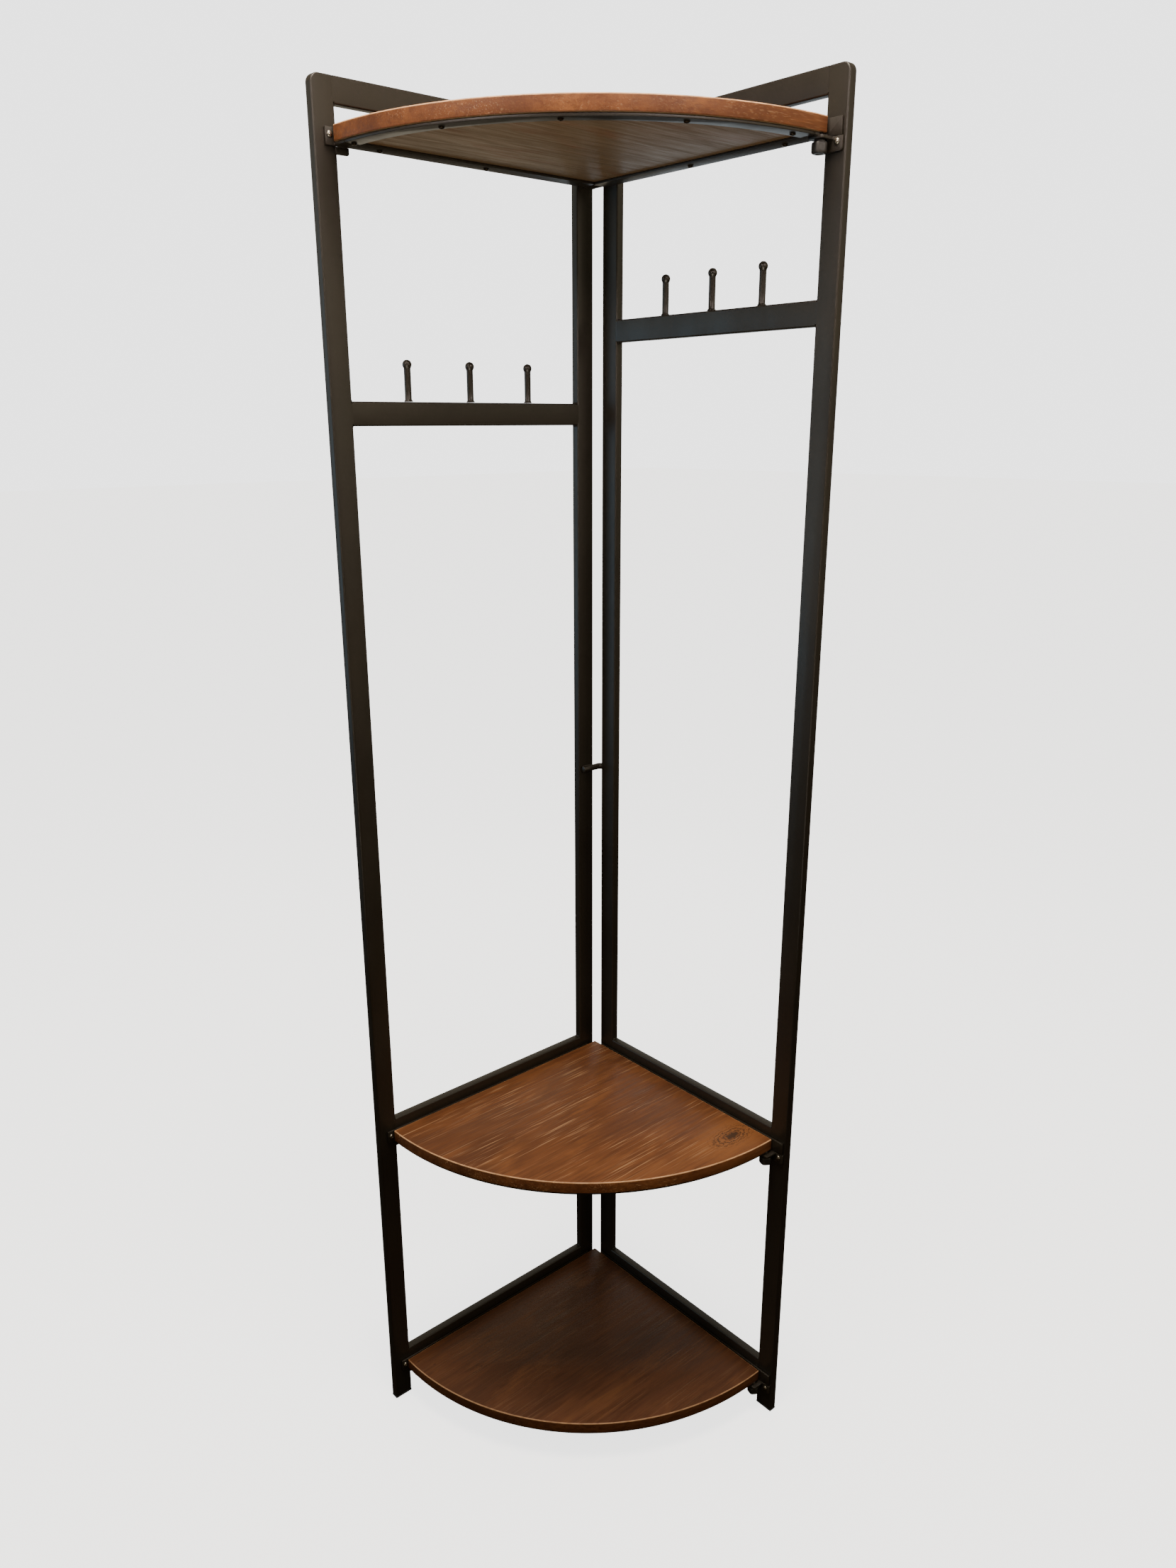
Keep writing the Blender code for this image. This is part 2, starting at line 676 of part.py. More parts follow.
# ---------------------------------------------------------------- assembly
clear_scene()
PARTS = new_collection("corner_hall_tree", False)
CUTTERS = new_collection("construction_helpers", True)
MATERIALS = {
    "steel": principled("black_powder_coated_steel", (0.030, 0.027, 0.024), 0.42, 0.0),
    "wood": principled("rustic_brown_wood", (0.235, 0.105, 0.045), 0.50, 0.0),
    "plastic": principled("black_foot_plastic", (0.020, 0.020, 0.020), 0.55, 0.0),
    "knob": principled("black_knob_plastic", (0.028, 0.028, 0.028), 0.38, 0.0),
    "zinc": principled("zinc_bolt", (0.62, 0.62, 0.60), 0.30, 1.0),
    "screw": principled("dark_screw_steel", (0.10, 0.085, 0.065), 0.40, 1.0),
}

for panel in ("left", "right"):
    make_post(panel, "inner")
    outer = make_post(panel, "outer")
    for shelf in SHELF_TOPS:
        bolt_hole(outer, panel, shelf)
    make_rail(panel, "top", HEIGHT)
    make_rail(panel, "hook", LEFT_HOOK_RAIL_TOP if panel == "left" else RIGHT_HOOK_RAIL_TOP)
    for shelf in RAILED_SHELVES:
        make_rail(panel, f"{shelf}_shelf", SHELF_TOPS[shelf] + RAIL_ABOVE_SHELF)
    make_cap(panel, "inner")
    make_cap(panel, "outer")

make_pegs("left", LEFT_HOOK_RAIL_TOP, LEFT_PEG_PITCH)
make_pegs("right", RIGHT_HOOK_RAIL_TOP, RIGHT_PEG_PITCH)
make_top_strap()
make_middle_link()

for shelf in SHELF_TOPS:
    make_board(shelf)
    make_angle(shelf, "left")
    make_angle(shelf, "right")
    make_front_strip(shelf)
    make_lugs(shelf)
    make_bolt(shelf, "left")
    make_bolt(shelf, "right")
    make_knob(shelf)
make_screws("top")
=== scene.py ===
"""Corner hall tree with hooks, dressed for close view: steel panels, hook pegs, three quarter-round shelves.

Every size is in metres. The two panels meet in a corner at the back; each side is named as seen from the front.
"""

import json
import logging
import math
from dataclasses import dataclass, field
from enum import Enum
from typing import Callable, Sequence

import bmesh
import bpy
from mathutils import Matrix, Vector

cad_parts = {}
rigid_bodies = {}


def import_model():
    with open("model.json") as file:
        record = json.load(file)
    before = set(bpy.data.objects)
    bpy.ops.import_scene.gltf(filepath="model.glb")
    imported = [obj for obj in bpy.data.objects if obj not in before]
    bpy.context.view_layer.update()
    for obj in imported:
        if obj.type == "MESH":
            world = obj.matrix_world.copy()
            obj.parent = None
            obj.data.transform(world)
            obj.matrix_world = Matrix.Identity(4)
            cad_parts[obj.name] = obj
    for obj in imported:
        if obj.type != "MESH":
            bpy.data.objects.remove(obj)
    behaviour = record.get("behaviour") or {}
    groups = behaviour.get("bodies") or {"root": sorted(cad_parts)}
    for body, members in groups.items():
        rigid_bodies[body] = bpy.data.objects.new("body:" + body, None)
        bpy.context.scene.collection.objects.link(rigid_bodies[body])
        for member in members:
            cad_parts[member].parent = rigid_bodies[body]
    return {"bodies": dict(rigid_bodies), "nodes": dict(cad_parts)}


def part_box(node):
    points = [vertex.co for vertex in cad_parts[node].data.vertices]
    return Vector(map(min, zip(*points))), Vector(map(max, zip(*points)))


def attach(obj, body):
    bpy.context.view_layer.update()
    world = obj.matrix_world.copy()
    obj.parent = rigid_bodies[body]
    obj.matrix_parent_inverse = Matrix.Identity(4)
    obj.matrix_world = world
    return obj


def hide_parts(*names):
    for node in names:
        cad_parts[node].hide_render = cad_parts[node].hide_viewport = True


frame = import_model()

LOG = logging.getLogger("hall_tree")
FRAME_BODY = "frame_and_shelves"
FIT_GAP = 0.0003
SAME_PLACE = 1e-5
Socket = bpy.types.NodeSocket
Colour = tuple[float, float, float]
Plan = tuple[float, float]
Mesh = bmesh.types.BMesh
Edge = bmesh.types.BMEdge
Piece = bpy.types.Object
Material = bpy.types.Material


class Side(Enum):
    """The two panels."""

    LEFT = "left"
    RIGHT = "right"


class Level(Enum):
    """The three shelves."""

    TOP = "top"
    MIDDLE = "middle"
    BOTTOM = "bottom"


class Slot(Enum):
    """The record's finishes."""

    STEEL = "powder_coated_steel"
    WOOD = "shelf_wood"
    FOOT = "foot_cap_plastic"
    KNOB = "knob_plastic"
    BOLT = "zinc_plated_bolt"
    SCREW = "dark_screw_steel"


# ---- shader graphs
class Wiring:
    """Adds and wires the nodes of one tree."""

    def __init__(self, tree: bpy.types.NodeTree) -> None:
        """Keep the tree."""
        self.tree = tree

    def node(self, kind: str, **settings: object) -> bpy.types.Node:
        """Add a node.

        Args:
            kind: Blender's node type.
            **settings: Attributes to set on it.

        Returns:
            The node.
        """
        made = self.tree.nodes.new(kind)
        for key, value in settings.items():
            setattr(made, key, value)
        return made

    def feed(self, socket: Socket, value: object) -> None:
        """Wire a socket to another one, or set it to a constant.

        Args:
            socket: The input.
            value: An output socket, a number or a tuple.
        """
        if isinstance(value, bpy.types.NodeSocket):
            self.tree.links.new(value, socket)
        else:
            socket.default_value = value


class Graph(Wiring):
    """The nodes of one material."""

    def __init__(self, name: str) -> None:
        """Start a material with one shader.

        Args:
            name: Name of the material.
        """
        self.material = bpy.data.materials.new(name)
        self.material.use_nodes = True
        super().__init__(self.material.node_tree)
        self.shader = self.tree.nodes["Principled BSDF"]
        self.coords = self.node("ShaderNodeTexCoord").outputs["Object"]

    def set(self, **inputs: object) -> None:
        """Set or wire shader inputs; underscores stand for the spaces of their names.

        Args:
            **inputs: Input name and value.
        """
        for key, value in inputs.items():
            self.feed(self.shader.inputs[key.replace("_", " ")], value)

    def calc(self, operation: str, first: object, second: object = 0.0, clamp: bool = False) -> Socket:
        """One arithmetic step.

        Args:
            operation: Blender's name of the operation.
            first: First value or socket.
            second: Second value or socket.
            clamp: Whether to keep the result within 0 and 1.

        Returns:
            The result.
        """
        made = self.node("ShaderNodeMath", operation=operation, use_clamp=clamp)
        self.feed(made.inputs[0], first)
        self.feed(made.inputs[1], second)
        return made.outputs[0]

    def times(self, first: object, second: object) -> Socket:
        """Product of two values."""
        return self.calc("MULTIPLY", first, second)

    def stretched(self, scale: Colour, offset: Colour = (0.0, 0.0, 0.0)) -> Socket:
        """Object coordinates scaled unevenly.

        Args:
            scale: Scale along each axis.
            offset: Shift along each axis.

        Returns:
            The coordinates.
        """
        made = self.node("ShaderNodeMapping")
        self.feed(made.inputs["Vector"], self.coords)
        made.inputs["Scale"].default_value = scale
        made.inputs["Location"].default_value = offset
        return made.outputs["Vector"]

    def noise(
        self, scale: float, detail: float = 2.0, rough: float = 0.5, at: Socket | None = None, twist: float = 0.0
    ) -> Socket:
        """Soft noise.

        Args:
            scale: Repeats in a metre.
            detail: Octaves.
            rough: Strength of the finer octaves.
            at: Coordinates, the object's own when left out.
            twist: Distortion.

        Returns:
            Noise from 0 to 1.
        """
        made = self.node("ShaderNodeTexNoise")
        self.feed(made.inputs["Vector"], at if at is not None else self.coords)
        made.inputs["Scale"].default_value = scale
        made.inputs["Detail"].default_value = detail
        made.inputs["Roughness"].default_value = rough
        made.inputs["Distortion"].default_value = twist
        return made.outputs["Fac"]

    def between(self, value: Socket, low: float, high: float, out_low: float = 0.0, out_high: float = 1.0) -> Socket:
        """Smooth step from one level to another.

        Args:
            value: Value to read.
            low: Where the step starts.
            high: Where it ends.
            out_low: Result below the step.
            out_high: Result above the step.

        Returns:
            The stepped value.
        """
        made = self.node("ShaderNodeMapRange", interpolation_type="SMOOTHSTEP")
        self.feed(made.inputs["Value"], value)
        for key, number in (("From Min", low), ("From Max", high), ("To Min", out_low), ("To Max", out_high)):
            made.inputs[key].default_value = number
        return made.outputs["Result"]

    def mix(self, amount: object, first: object, second: object, blend: str = "MIX") -> Socket:
        """Mix of two colours.

        Args:
            amount: Share of the second one.
            first: Colour or socket.
            second: Colour or socket.
            blend: Blender's name of the way to mix.

        Returns:
            The mixed colour.
        """
        made = self.node("ShaderNodeMix", data_type="RGBA", blend_type=blend)
        self.feed(made.inputs[0], amount)
        for socket, value in ((made.inputs[6], first), (made.inputs[7], second)):
            self.feed(socket, (*value, 1.0) if isinstance(value, tuple) and len(value) == 3 else value)
        return made.outputs[2]

    def edges(self, radius: float) -> Socket:
        """How near a point is to a sharp edge.

        Args:
            radius: Width of the worn band.

        Returns:
            About 0 on a flat, rising towards 1 on an edge.
        """
        bevel = self.node("ShaderNodeBevel", samples=4)
        bevel.inputs["Radius"].default_value = radius
        geometry = self.node("ShaderNodeNewGeometry")
        dot = self.node("ShaderNodeVectorMath", operation="DOT_PRODUCT")
        self.feed(dot.inputs[0], bevel.outputs[0])
        self.feed(dot.inputs[1], geometry.outputs["True Normal"])
        return self.calc("SUBTRACT", 1.0, dot.outputs["Value"], clamp=True)

    def upward(self) -> Socket:
        """Height part of the true normal: 1 on a top, -1 on an underside.

        Returns:
            The height part.
        """
        geometry = self.node("ShaderNodeNewGeometry")
        split = self.node("ShaderNodeSeparateXYZ")
        self.feed(split.inputs[0], geometry.outputs["True Normal"])
        return split.outputs["Z"]

    def bump(self, height: Socket, depth: float, below: Socket | None = None) -> Socket:
        """Bumpy normal.

        Args:
            height: Height from 0 to 1.
            depth: Depth of the relief.
            below: Normal to start from.

        Returns:
            The normal.
        """
        made = self.node("ShaderNodeBump")
        made.inputs["Distance"].default_value = depth
        self.feed(made.inputs["Height"], height)
        if below is not None:
            self.feed(made.inputs["Normal"], below)
        return made.outputs["Normal"]


# ---- finishes
@dataclass(frozen=True)
class PowderCoat:
    """Satin dark bronze powder coat with a fine orange-peel skin."""

    name: str = "bronze_black_powder_coat"
    tone: Colour = (0.0185, 0.0145, 0.0098)
    deep: Colour = (0.0135, 0.0103, 0.0070)
    rubbed: Colour = (0.046, 0.039, 0.028)
    gloss: float = 0.38
    matt: float = 0.46
    peel: float = 0.00005
    lump: float = 0.0
    wear: float = 1.0

    def make(self) -> Material:
        """Build the material.

        Returns:
            The material.
        """
        graph = Graph(self.name)
        cloud = graph.noise(7.0, 3.0, 0.55)
        fleck = graph.noise(420.0, 2.0, 0.6)
        colour = graph.mix(graph.between(cloud, 0.32, 0.68), self.tone, self.deep)
        colour = graph.mix(graph.between(fleck, 0.60, 0.80, 0.0, 0.22), colour, self.rubbed)
        if self.wear:
            worn = graph.times(graph.edges(0.0011), graph.between(graph.noise(38.0, 4.0, 0.7), 0.42, 0.62))
            colour = graph.mix(graph.calc("MULTIPLY", worn, self.wear, clamp=True), colour, self.rubbed)
        smear = graph.noise(26.0, 4.0, 0.6, graph.stretched((1.0, 1.0, 0.35)))
        skin = graph.bump(graph.noise(1150.0, 1.0), self.peel)
        wave = graph.bump(graph.noise(55.0, 1.0), 0.00008, skin)
        if self.lump:
            wave = graph.bump(graph.noise(560.0, 2.0, 0.5), self.lump, wave)
        graph.set(
            Base_Color=colour,
            Roughness=graph.between(smear, 0.3, 0.7, self.gloss, self.matt),
            Normal=wave,
            Metallic=0.0,
        )
        graph.shader.inputs["IOR"].default_value = 1.52
        return graph.material


@dataclass(frozen=True)
class RusticWood:
    """Stained, lightly scratched board with a rubbed arris that also carries a painted highlight, and an optional
    painted shade over the whole board; the grain runs along Y.
    """

    name: str
    seed: float
    knot: Plan | None = None
    knot_shape: Colour = (1.0, 0.46, 0.0)
    knot_tone: Colour = (0.042, 0.019, 0.009)
    base: Colour = (0.168, 0.058, 0.0195)
    dark: Colour = (0.082, 0.027, 0.0100)
    amber: Colour = (0.275, 0.105, 0.033)
    scratch: Colour = (0.46, 0.26, 0.135)
    # Paler colour for the top edges: rubbed wear, and on the upper arris also a painted highlight where light from
    # above catches the edge.
    rubbed: Colour = (0.80, 0.46, 0.25)
    under: Colour = (0.185, 0.118, 0.064)
    under_dark: Colour = (0.125, 0.078, 0.040)
    scratched: float = 0.5
    # A factor below 1 darkens the whole board's colour: painted shade standing for shadow.
    painted_shade: float = 1.0

    def along(self, graph: Graph, stretch: float) -> Socket:
        """Coordinates drawn out along the grain.

        Args:
            graph: The material's graph.
            stretch: Scale along the grain, 1 across it.

        Returns:
            The coordinates.
        """
        return graph.stretched((1.0, stretch, 1.0), (self.seed, 0.37 * self.seed, 0.11 * self.seed))

    def knot_rings(self, graph: Graph) -> tuple[Socket, Socket]:
        """Dark heart and lines of the knot.

        Args:
            graph: The material's graph.

        Returns:
            Share of the dark heart, and share of the amber halo round it.
        """
        place = (*(self.knot or (0.0, 0.0)), 0.0)
        flow = graph.coords
        for operation, value in (("SUBTRACT", place), ("MULTIPLY", self.knot_shape), ("LENGTH", None)):
            length = graph.node("ShaderNodeVectorMath", operation=operation)
            graph.feed(length.inputs[0], flow)
            if value:
                graph.feed(length.inputs[1], value)
            flow = length.outputs[0]
        ragged = graph.calc(
            "ADD", length.outputs["Value"], graph.times(graph.noise(190.0, 4.0, 0.7), 0.013)
        )
        ripple = graph.calc("SINE", graph.times(ragged, 1500.0))
        heart = graph.between(ragged, 0.0105, 0.0130, 1.0, 0.0)
        lines = graph.times(graph.between(ripple, 0.1, 0.9), graph.between(ragged, 0.016, 0.032, 1.0, 0.0))
        halo = graph.between(ragged, 0.020, 0.060, 1.0, 0.0)
        return graph.calc("MAXIMUM", heart, lines), halo

    def make(self) -> Material:
        """Build the material.

        Returns:
            The material.
        """
        graph = Graph(self.name)
        broad = graph.noise(11.0, 3.0, 0.55, self.along(graph, 0.30), 0.4)
        grain = graph.noise(170.0, 5.0, 0.68, self.along(graph, 0.055), 0.25)
        fibre = graph.noise(620.0, 3.0, 0.6, self.along(graph, 0.030))
        patch = graph.noise(24.0, 3.0, 0.6, self.along(graph, 0.36), 0.6)
        hair = graph.noise(420.0, 1.0, 0.4, self.along(graph, 0.024))
        where = graph.noise(30.0, 2.0, 0.5, self.along(graph, 0.30))

        colour = graph.mix(graph.between(broad, 0.42, 0.66, 0.0, 0.72), self.base, self.dark)
        colour = graph.mix(graph.between(patch, 0.48, 0.70, 0.0, 0.50), colour, self.amber)
        colour = graph.mix(graph.between(grain, 0.34, 0.60, 0.60, 0.0), colour, self.dark)
        colour = graph.mix(graph.between(fibre, 0.50, 0.80, 0.0, 0.32), colour, self.amber)
        fine = graph.noise(760.0, 1.0, 0.4, self.along(graph, 0.016))
        finest = graph.between(fine, 0.60, 0.72, 0.0, 0.75)
        hairs = graph.calc("MAXIMUM", graph.between(hair, 0.62, 0.72), finest)
        lines = graph.times(hairs, graph.between(where, 0.42, 0.64, 0.12, 1.0))
        colour = graph.mix(graph.times(lines, self.scratched), colour, self.scratch)

        pits = graph.node("ShaderNodeTexVoronoi")
        graph.feed(pits.inputs["Vector"], self.along(graph, 0.6))
        pits.inputs["Scale"].default_value = 55.0
        dots = graph.times(graph.between(pits.outputs["Distance"], 0.05, 0.12, 1.0, 0.0),
            graph.between(graph.noise(19.0, 1.0), 0.60, 0.66),
        )
        colour = graph.mix(graph.times(dots, 0.7), colour, self.dark)
        if self.knot:
            heart, halo = self.knot_rings(graph)
            colour = graph.mix(graph.times(halo, 0.8), colour, self.amber)
            colour = graph.mix(graph.times(heart, 0.92), colour, self.knot_tone)

        up = graph.upward()
        raw = graph.mix(graph.between(grain, 0.34, 0.70), self.under, self.under_dark)
        raw = graph.mix(graph.between(patch, 0.50, 0.75, 0.0, 0.5), raw, self.base)
        colour = graph.mix(graph.between(up, -0.95, -0.6, 1.0, 0.0), colour, raw)

        scuffs = graph.between(graph.noise(85.0, 3.0, 0.6), 0.34, 0.58, 0.62, 1.0)
        # Painted highlight: the upward-facing arris band, picked by its normal, is painted paler and broken up by
        # the scuff noise.
        arris = graph.times(graph.between(up, 0.08, 0.30), graph.between(up, 0.95, 0.995, 1.0, 0.0))
        near = graph.between(graph.edges(0.0032), 0.01, 0.32)
        near = graph.times(near, graph.between(up, 0.5, 0.9))
        near = graph.times(near, graph.between(graph.noise(60.0, 4.0, 0.7), 0.48, 0.66, 0.0, 0.5))
        # Rubbed wear near the top edges, together with the painted arris highlight.
        wear_and_highlight = graph.calc("MAXIMUM", graph.times(arris, scuffs), near)
        colour = graph.mix(wear_and_highlight, colour, self.rubbed)

        # Painted shade: the board's colour is multiplied darker.
        if self.painted_shade < 1.0:
            colour = graph.mix(1.0, colour, (self.painted_shade, self.painted_shade, self.painted_shade), "MULTIPLY")
        relief = graph.bump(graph.calc("ADD", grain, graph.times(fibre, 0.5)), 0.00030)
        relief = graph.bump(lines, 0.00012, relief)
        rough = graph.calc("SUBTRACT", graph.between(grain, 0.3, 0.7, 0.40, 0.60), graph.times(lines, 0.08))
        graph.set(Base_Color=colour, Roughness=rough, Normal=relief)
        graph.shader.inputs["IOR"].default_value = 1.45
        graph.shader.inputs["Specular IOR Level"].default_value = 0.34
        return graph.material


@dataclass(frozen=True)
class MouldedPlastic:
    """Black moulded plastic with a fine spark-eroded texture."""

    name: str
    tone: Colour
    rubbed: Colour
    gloss: float
    matt: float
    grain: float = 0.00006

    def make(self) -> Material:
        """Build the material.

        Returns:
            The material.
        """
        graph = Graph(self.name)
        cloud = graph.noise(120.0, 3.0, 0.6)
        worn = graph.times(graph.edges(0.0008), graph.between(graph.noise(300.0, 2.0), 0.4, 0.6))
        colour = graph.mix(graph.between(cloud, 0.35, 0.7, 0.0, 0.3), self.tone, self.rubbed)
        colour = graph.mix(graph.calc("MULTIPLY", worn, 1.4, clamp=True), colour, self.rubbed)
        graph.set(
            Base_Color=colour,
            Roughness=graph.between(cloud, 0.3, 0.7, self.gloss, self.matt),
            Normal=graph.bump(graph.noise(2600.0, 1.0), self.grain),
        )
        return graph.material


@dataclass(frozen=True)
class PlatedSteel:
    """Plated or blackened fastener steel with fine turning marks."""

    name: str
    tone: Colour
    dull: Colour
    gloss: float
    matt: float

    def make(self) -> Material:
        """Build the material.

        Returns:
            The material.
        """
        graph = Graph(self.name)
        cloud = graph.noise(500.0, 3.0, 0.6)
        marks = graph.noise(2400.0, 2.0, 0.6)
        worn = graph.between(graph.edges(0.0005), 0.02, 0.4, 0.0, 0.6)
        colour = graph.mix(graph.between(cloud, 0.4, 0.7), self.tone, self.dull)
        colour = graph.mix(worn, colour, tuple(min(1.0, 1.7 * part) for part in self.tone))
        graph.set(
            Base_Color=colour,
            Roughness=graph.between(cloud, 0.3, 0.7, self.gloss, self.matt),
            Normal=graph.bump(marks, 0.00003),
            Metallic=1.0,
        )
        return graph.material


@dataclass(frozen=True)
class FloorPaint:
    """Plain pale studio floor."""

    name: str = "pale_floor"
    tone: Colour = (0.84, 0.84, 0.83)
    glow: float = 2.4

    def make(self) -> Material:
        """Build the material.

        Returns:
            The material.
        """
        graph = Graph(self.name)
        cloud = graph.noise(3.0, 2.0)
        graph.set(
            Base_Color=graph.mix(graph.between(cloud, 0.3, 0.7, 0.0, 0.2), self.tone, (0.80, 0.80, 0.80)),
            Roughness=0.7,
        )
        graph.shader.inputs["Emission Color"].default_value = (1.0, 1.0, 1.0, 1.0)
        graph.shader.inputs["Emission Strength"].default_value = self.glow
        return graph.material


# ---- mesh making
def box_mesh(low: Sequence[float], high: Sequence[float], radius: float = 0.0, steps: int = 3) -> Mesh:
    """A box with rounded edges.

    Args:
        low: Lowest corner.
        high: Highest corner.
        radius: Radius of the edges.
        steps: Facets of each rounding.

    Returns:
        The mesh.
    """
    made = bmesh.new()
    bmesh.ops.create_cube(made, size=1.0)
    for vert in made.verts:
        for axis in range(3):
            vert.co[axis] = (low[axis] + high[axis]) / 2 + vert.co[axis] * (high[axis] - low[axis])
    if radius > 0:
        round_edges(made, list(made.edges), radius, steps)
    return made


def round_edges(made: Mesh, edges: list[Edge], radius: float, steps: int) -> None:
    """Round some edges of a mesh.

    Args:
        made: The mesh.
        edges: The edges.
        radius: Radius of the rounding.
        steps: Facets of it.
    """
    shape = {"offset_type": "OFFSET", "profile": 0.5, "affect": "EDGES", "clamp_overlap": True}
    bmesh.ops.bevel(made, geom=edges, offset=radius, segments=steps, **shape)


def sharp(made: Mesh, degrees: float = 30.0) -> list[Edge]:
    """Edges that turn more than an angle.

    Args:
        made: The mesh.
        degrees: Least angle between the two faces.

    Returns:
        The edges.
    """
    made.normal_update()
    least = math.radians(degrees)
    return [edge for edge in made.edges if len(edge.link_faces) == 2 and edge.calc_face_angle() > least]


def edges_along(made: Mesh, axis: int, height: float | None = None) -> list[Edge]:
    """Edges of a straight-sided mesh that run along an axis.

    Args:
        made: The mesh.
        axis: The axis, 0 to 2.
        height: Height that they lie at, any when left out.

    Returns:
        The edges.
    """
    return [
        edge
        for edge in made.edges
        if abs(edge.verts[0].co[axis] - edge.verts[1].co[axis]) > 10 * SAME_PLACE
        and (height is None or all(abs(vert.co.z - height) < SAME_PLACE for vert in edge.verts))
    ]


def outward(made: Mesh) -> Mesh:
    """Turn every face of a closed mesh outwards.

    Args:
        made: The mesh.

    Returns:
        The same mesh.
    """
    made.normal_update()
    bmesh.ops.recalc_face_normals(made, faces=made.faces)
    return made


def skinned(made: Mesh, rings: Sequence[list[bmesh.types.BMVert]], steps: int) -> Mesh:
    """Join rings of points into a closed skin.

    Args:
        made: The mesh that holds the points.
        rings: The rings in order; one of a single point closes an end.
        steps: Points of a full ring.

    Returns:
        The same mesh.
    """
    for above, below in zip(rings, rings[1:]):
        for step in range(steps):
            after = (step + 1) % steps
            around = ((above, step), (above, after), (below, after), (below, step))
            corners = list(dict.fromkeys(ring[place % len(ring)] for ring, place in around))
            if len(corners) > 2:
                made.faces.new(corners)
    for ring in (rings[0], rings[-1]):
        if len(ring) > 1:
            made.faces.new(ring)
    return outward(made)


def prism(outline: Sequence[Plan], bottom: float, top: float) -> Mesh:
    """A flat outline given a thickness.

    Args:
        outline: Corners in plan.
        bottom: Lower height.
        top: Upper height.

    Returns:
        The mesh.
    """
    made = bmesh.new()
    low = [made.verts.new((x, y, bottom)) for x, y in outline]
    high = [made.verts.new((x, y, top)) for x, y in outline]
    made.faces.new(low[::-1])
    made.faces.new(high)
    for index in range(len(outline)):
        after = (index + 1) % len(outline)
        made.faces.new((low[index], low[after], high[after], high[index]))
    return outward(made)


def turned(profile: Sequence[Plan], steps: int, swell: Callable[[float, float], float] | None = None) -> Mesh:
    """A shape turned round Z.

    Args:
        profile: Radius and height, from one end to the other; an end of radius 0 closes in a point.
        steps: Facets round the axis.
        swell: Factor on the radius from the angle and the radius.

    Returns:
        The mesh.
    """
    made = bmesh.new()
    rings: list[list[bmesh.types.BMVert]] = []
    for radius, height in profile:
        if radius <= 0:
            rings.append([made.verts.new((0.0, 0.0, height))])
            continue
        ring = []
        for step in range(steps):
            angle = math.tau * step / steps
            reach = radius * (swell(angle, radius) if swell else 1.0)
            ring.append(made.verts.new((reach * math.cos(angle), reach * math.sin(angle), height)))
        rings.append(ring)
    return skinned(made, rings, steps)


def thread(radius: float, root: float, start: float, pitch: float, turns: int) -> list[Plan]:
    """Profile of a thread.

    Args:
        radius: Radius of the crests.
        root: Share of it that is left at the roots.
        start: Height of the first crest.
        pitch: Step to the next crest; below 0 it goes down.
        turns: Number of crests.

    Returns:
        Radius and height of each crest and root.
    """
    heights = [start + pitch * turn for turn in range(turns)]
    return [point for height in heights for point in ((radius, height), (radius * root, height + pitch / 2))]


def swept(path: Sequence[Vector], radius: Callable[[float], float], sides: int) -> Mesh:
    """A round bar or bead along a path.

    Args:
        path: Points of the centre line.
        radius: Radius from the share of the path gone by.
        sides: Facets round it.

    Returns:
        The mesh.
    """
    made = bmesh.new()
    rings = []
    side = Vector((0.0, 0.0, 1.0))
    for index, point in enumerate(path):
        ahead = path[min(index + 1, len(path) - 1)] - path[max(index - 1, 0)]
        ahead.normalize()
        if abs(ahead.dot(side)) > 0.9 and index == 0:
            side = Vector((1.0, 0.0, 0.0))
        side = (side - ahead * side.dot(ahead)).normalized()
        other = ahead.cross(side)
        reach = radius(index / (len(path) - 1))
        turns = [math.tau * step / sides for step in range(sides)]
        ring = [point + side * reach * math.cos(turn) + other * reach * math.sin(turn) for turn in turns]
        rings.append([made.verts.new(place) for place in ring])
    return skinned(made, rings, sides)


def bead(start: Vector, end: Vector, radius: float, ripples: float = 3.0, phase: float = 0.0) -> Mesh:
    """A short rippled weld bead.

    Args:
        start: First end.
        end: Second end.
        radius: Radius at its fullest.
        ripples: Number of ripples.
        phase: Shift of the ripples, in turns.

    Returns:
        The mesh.
    """
    count = 18
    path = [start.lerp(end, step / count) for step in range(count + 1)]

    def reach(share: float) -> float:
        """Radius of the bead.

        Args:
            share: Share of its length gone by.

        Returns:
            The radius there.
        """
        taper = min(1.0, 0.35 + 5.0 * min(share, 1.0 - share))
        return radius * taper * (1.0 + 0.10 * math.sin(math.tau * (ripples * share + phase)))

    return swept(path, reach, 10)


def gather(parts: Sequence[Mesh]) -> Mesh:
    """Several meshes in one.

    Args:
        parts: The meshes, which are used up.

    Returns:
        The mesh that holds them all.
    """
    made = bmesh.new()
    for part in parts:
        held = bpy.data.meshes.new("held")
        part.to_mesh(held)
        part.free()
        made.from_mesh(held)
        bpy.data.meshes.remove(held)
    return made


def combined(first: Mesh, others: Sequence[Mesh], operation: str) -> Mesh:
    """Boolean of one mesh with others.

    Args:
        first: The mesh that stays.
        others: Meshes to join to it or cut from it.
        operation: UNION or DIFFERENCE.

    Returns:
        The result.
    """
    holders = []
    for part in (first, *others):
        mesh = bpy.data.meshes.new("helper")
        part.to_mesh(mesh)
        part.free()
        holder = bpy.data.objects.new("helper", mesh)
        bpy.context.scene.collection.objects.link(holder)
        holders.append(holder)
    for other in holders[1:]:
        step = holders[0].modifiers.new("step", "BOOLEAN")
        step.operation = operation
        step.solver = "EXACT"
        step.object = other
    graph = bpy.context.evaluated_depsgraph_get()
    made = bmesh.new()
    made.from_mesh(holders[0].evaluated_get(graph).to_mesh())
    for holder in holders:
        mesh = holder.data
        bpy.data.objects.remove(holder)
        bpy.data.meshes.remove(mesh)
    bmesh.ops.remove_doubles(made, verts=made.verts, dist=0.000005)
    bmesh.ops.dissolve_limit(made, angle_limit=math.radians(1.0), verts=made.verts, edges=made.edges)
    return made


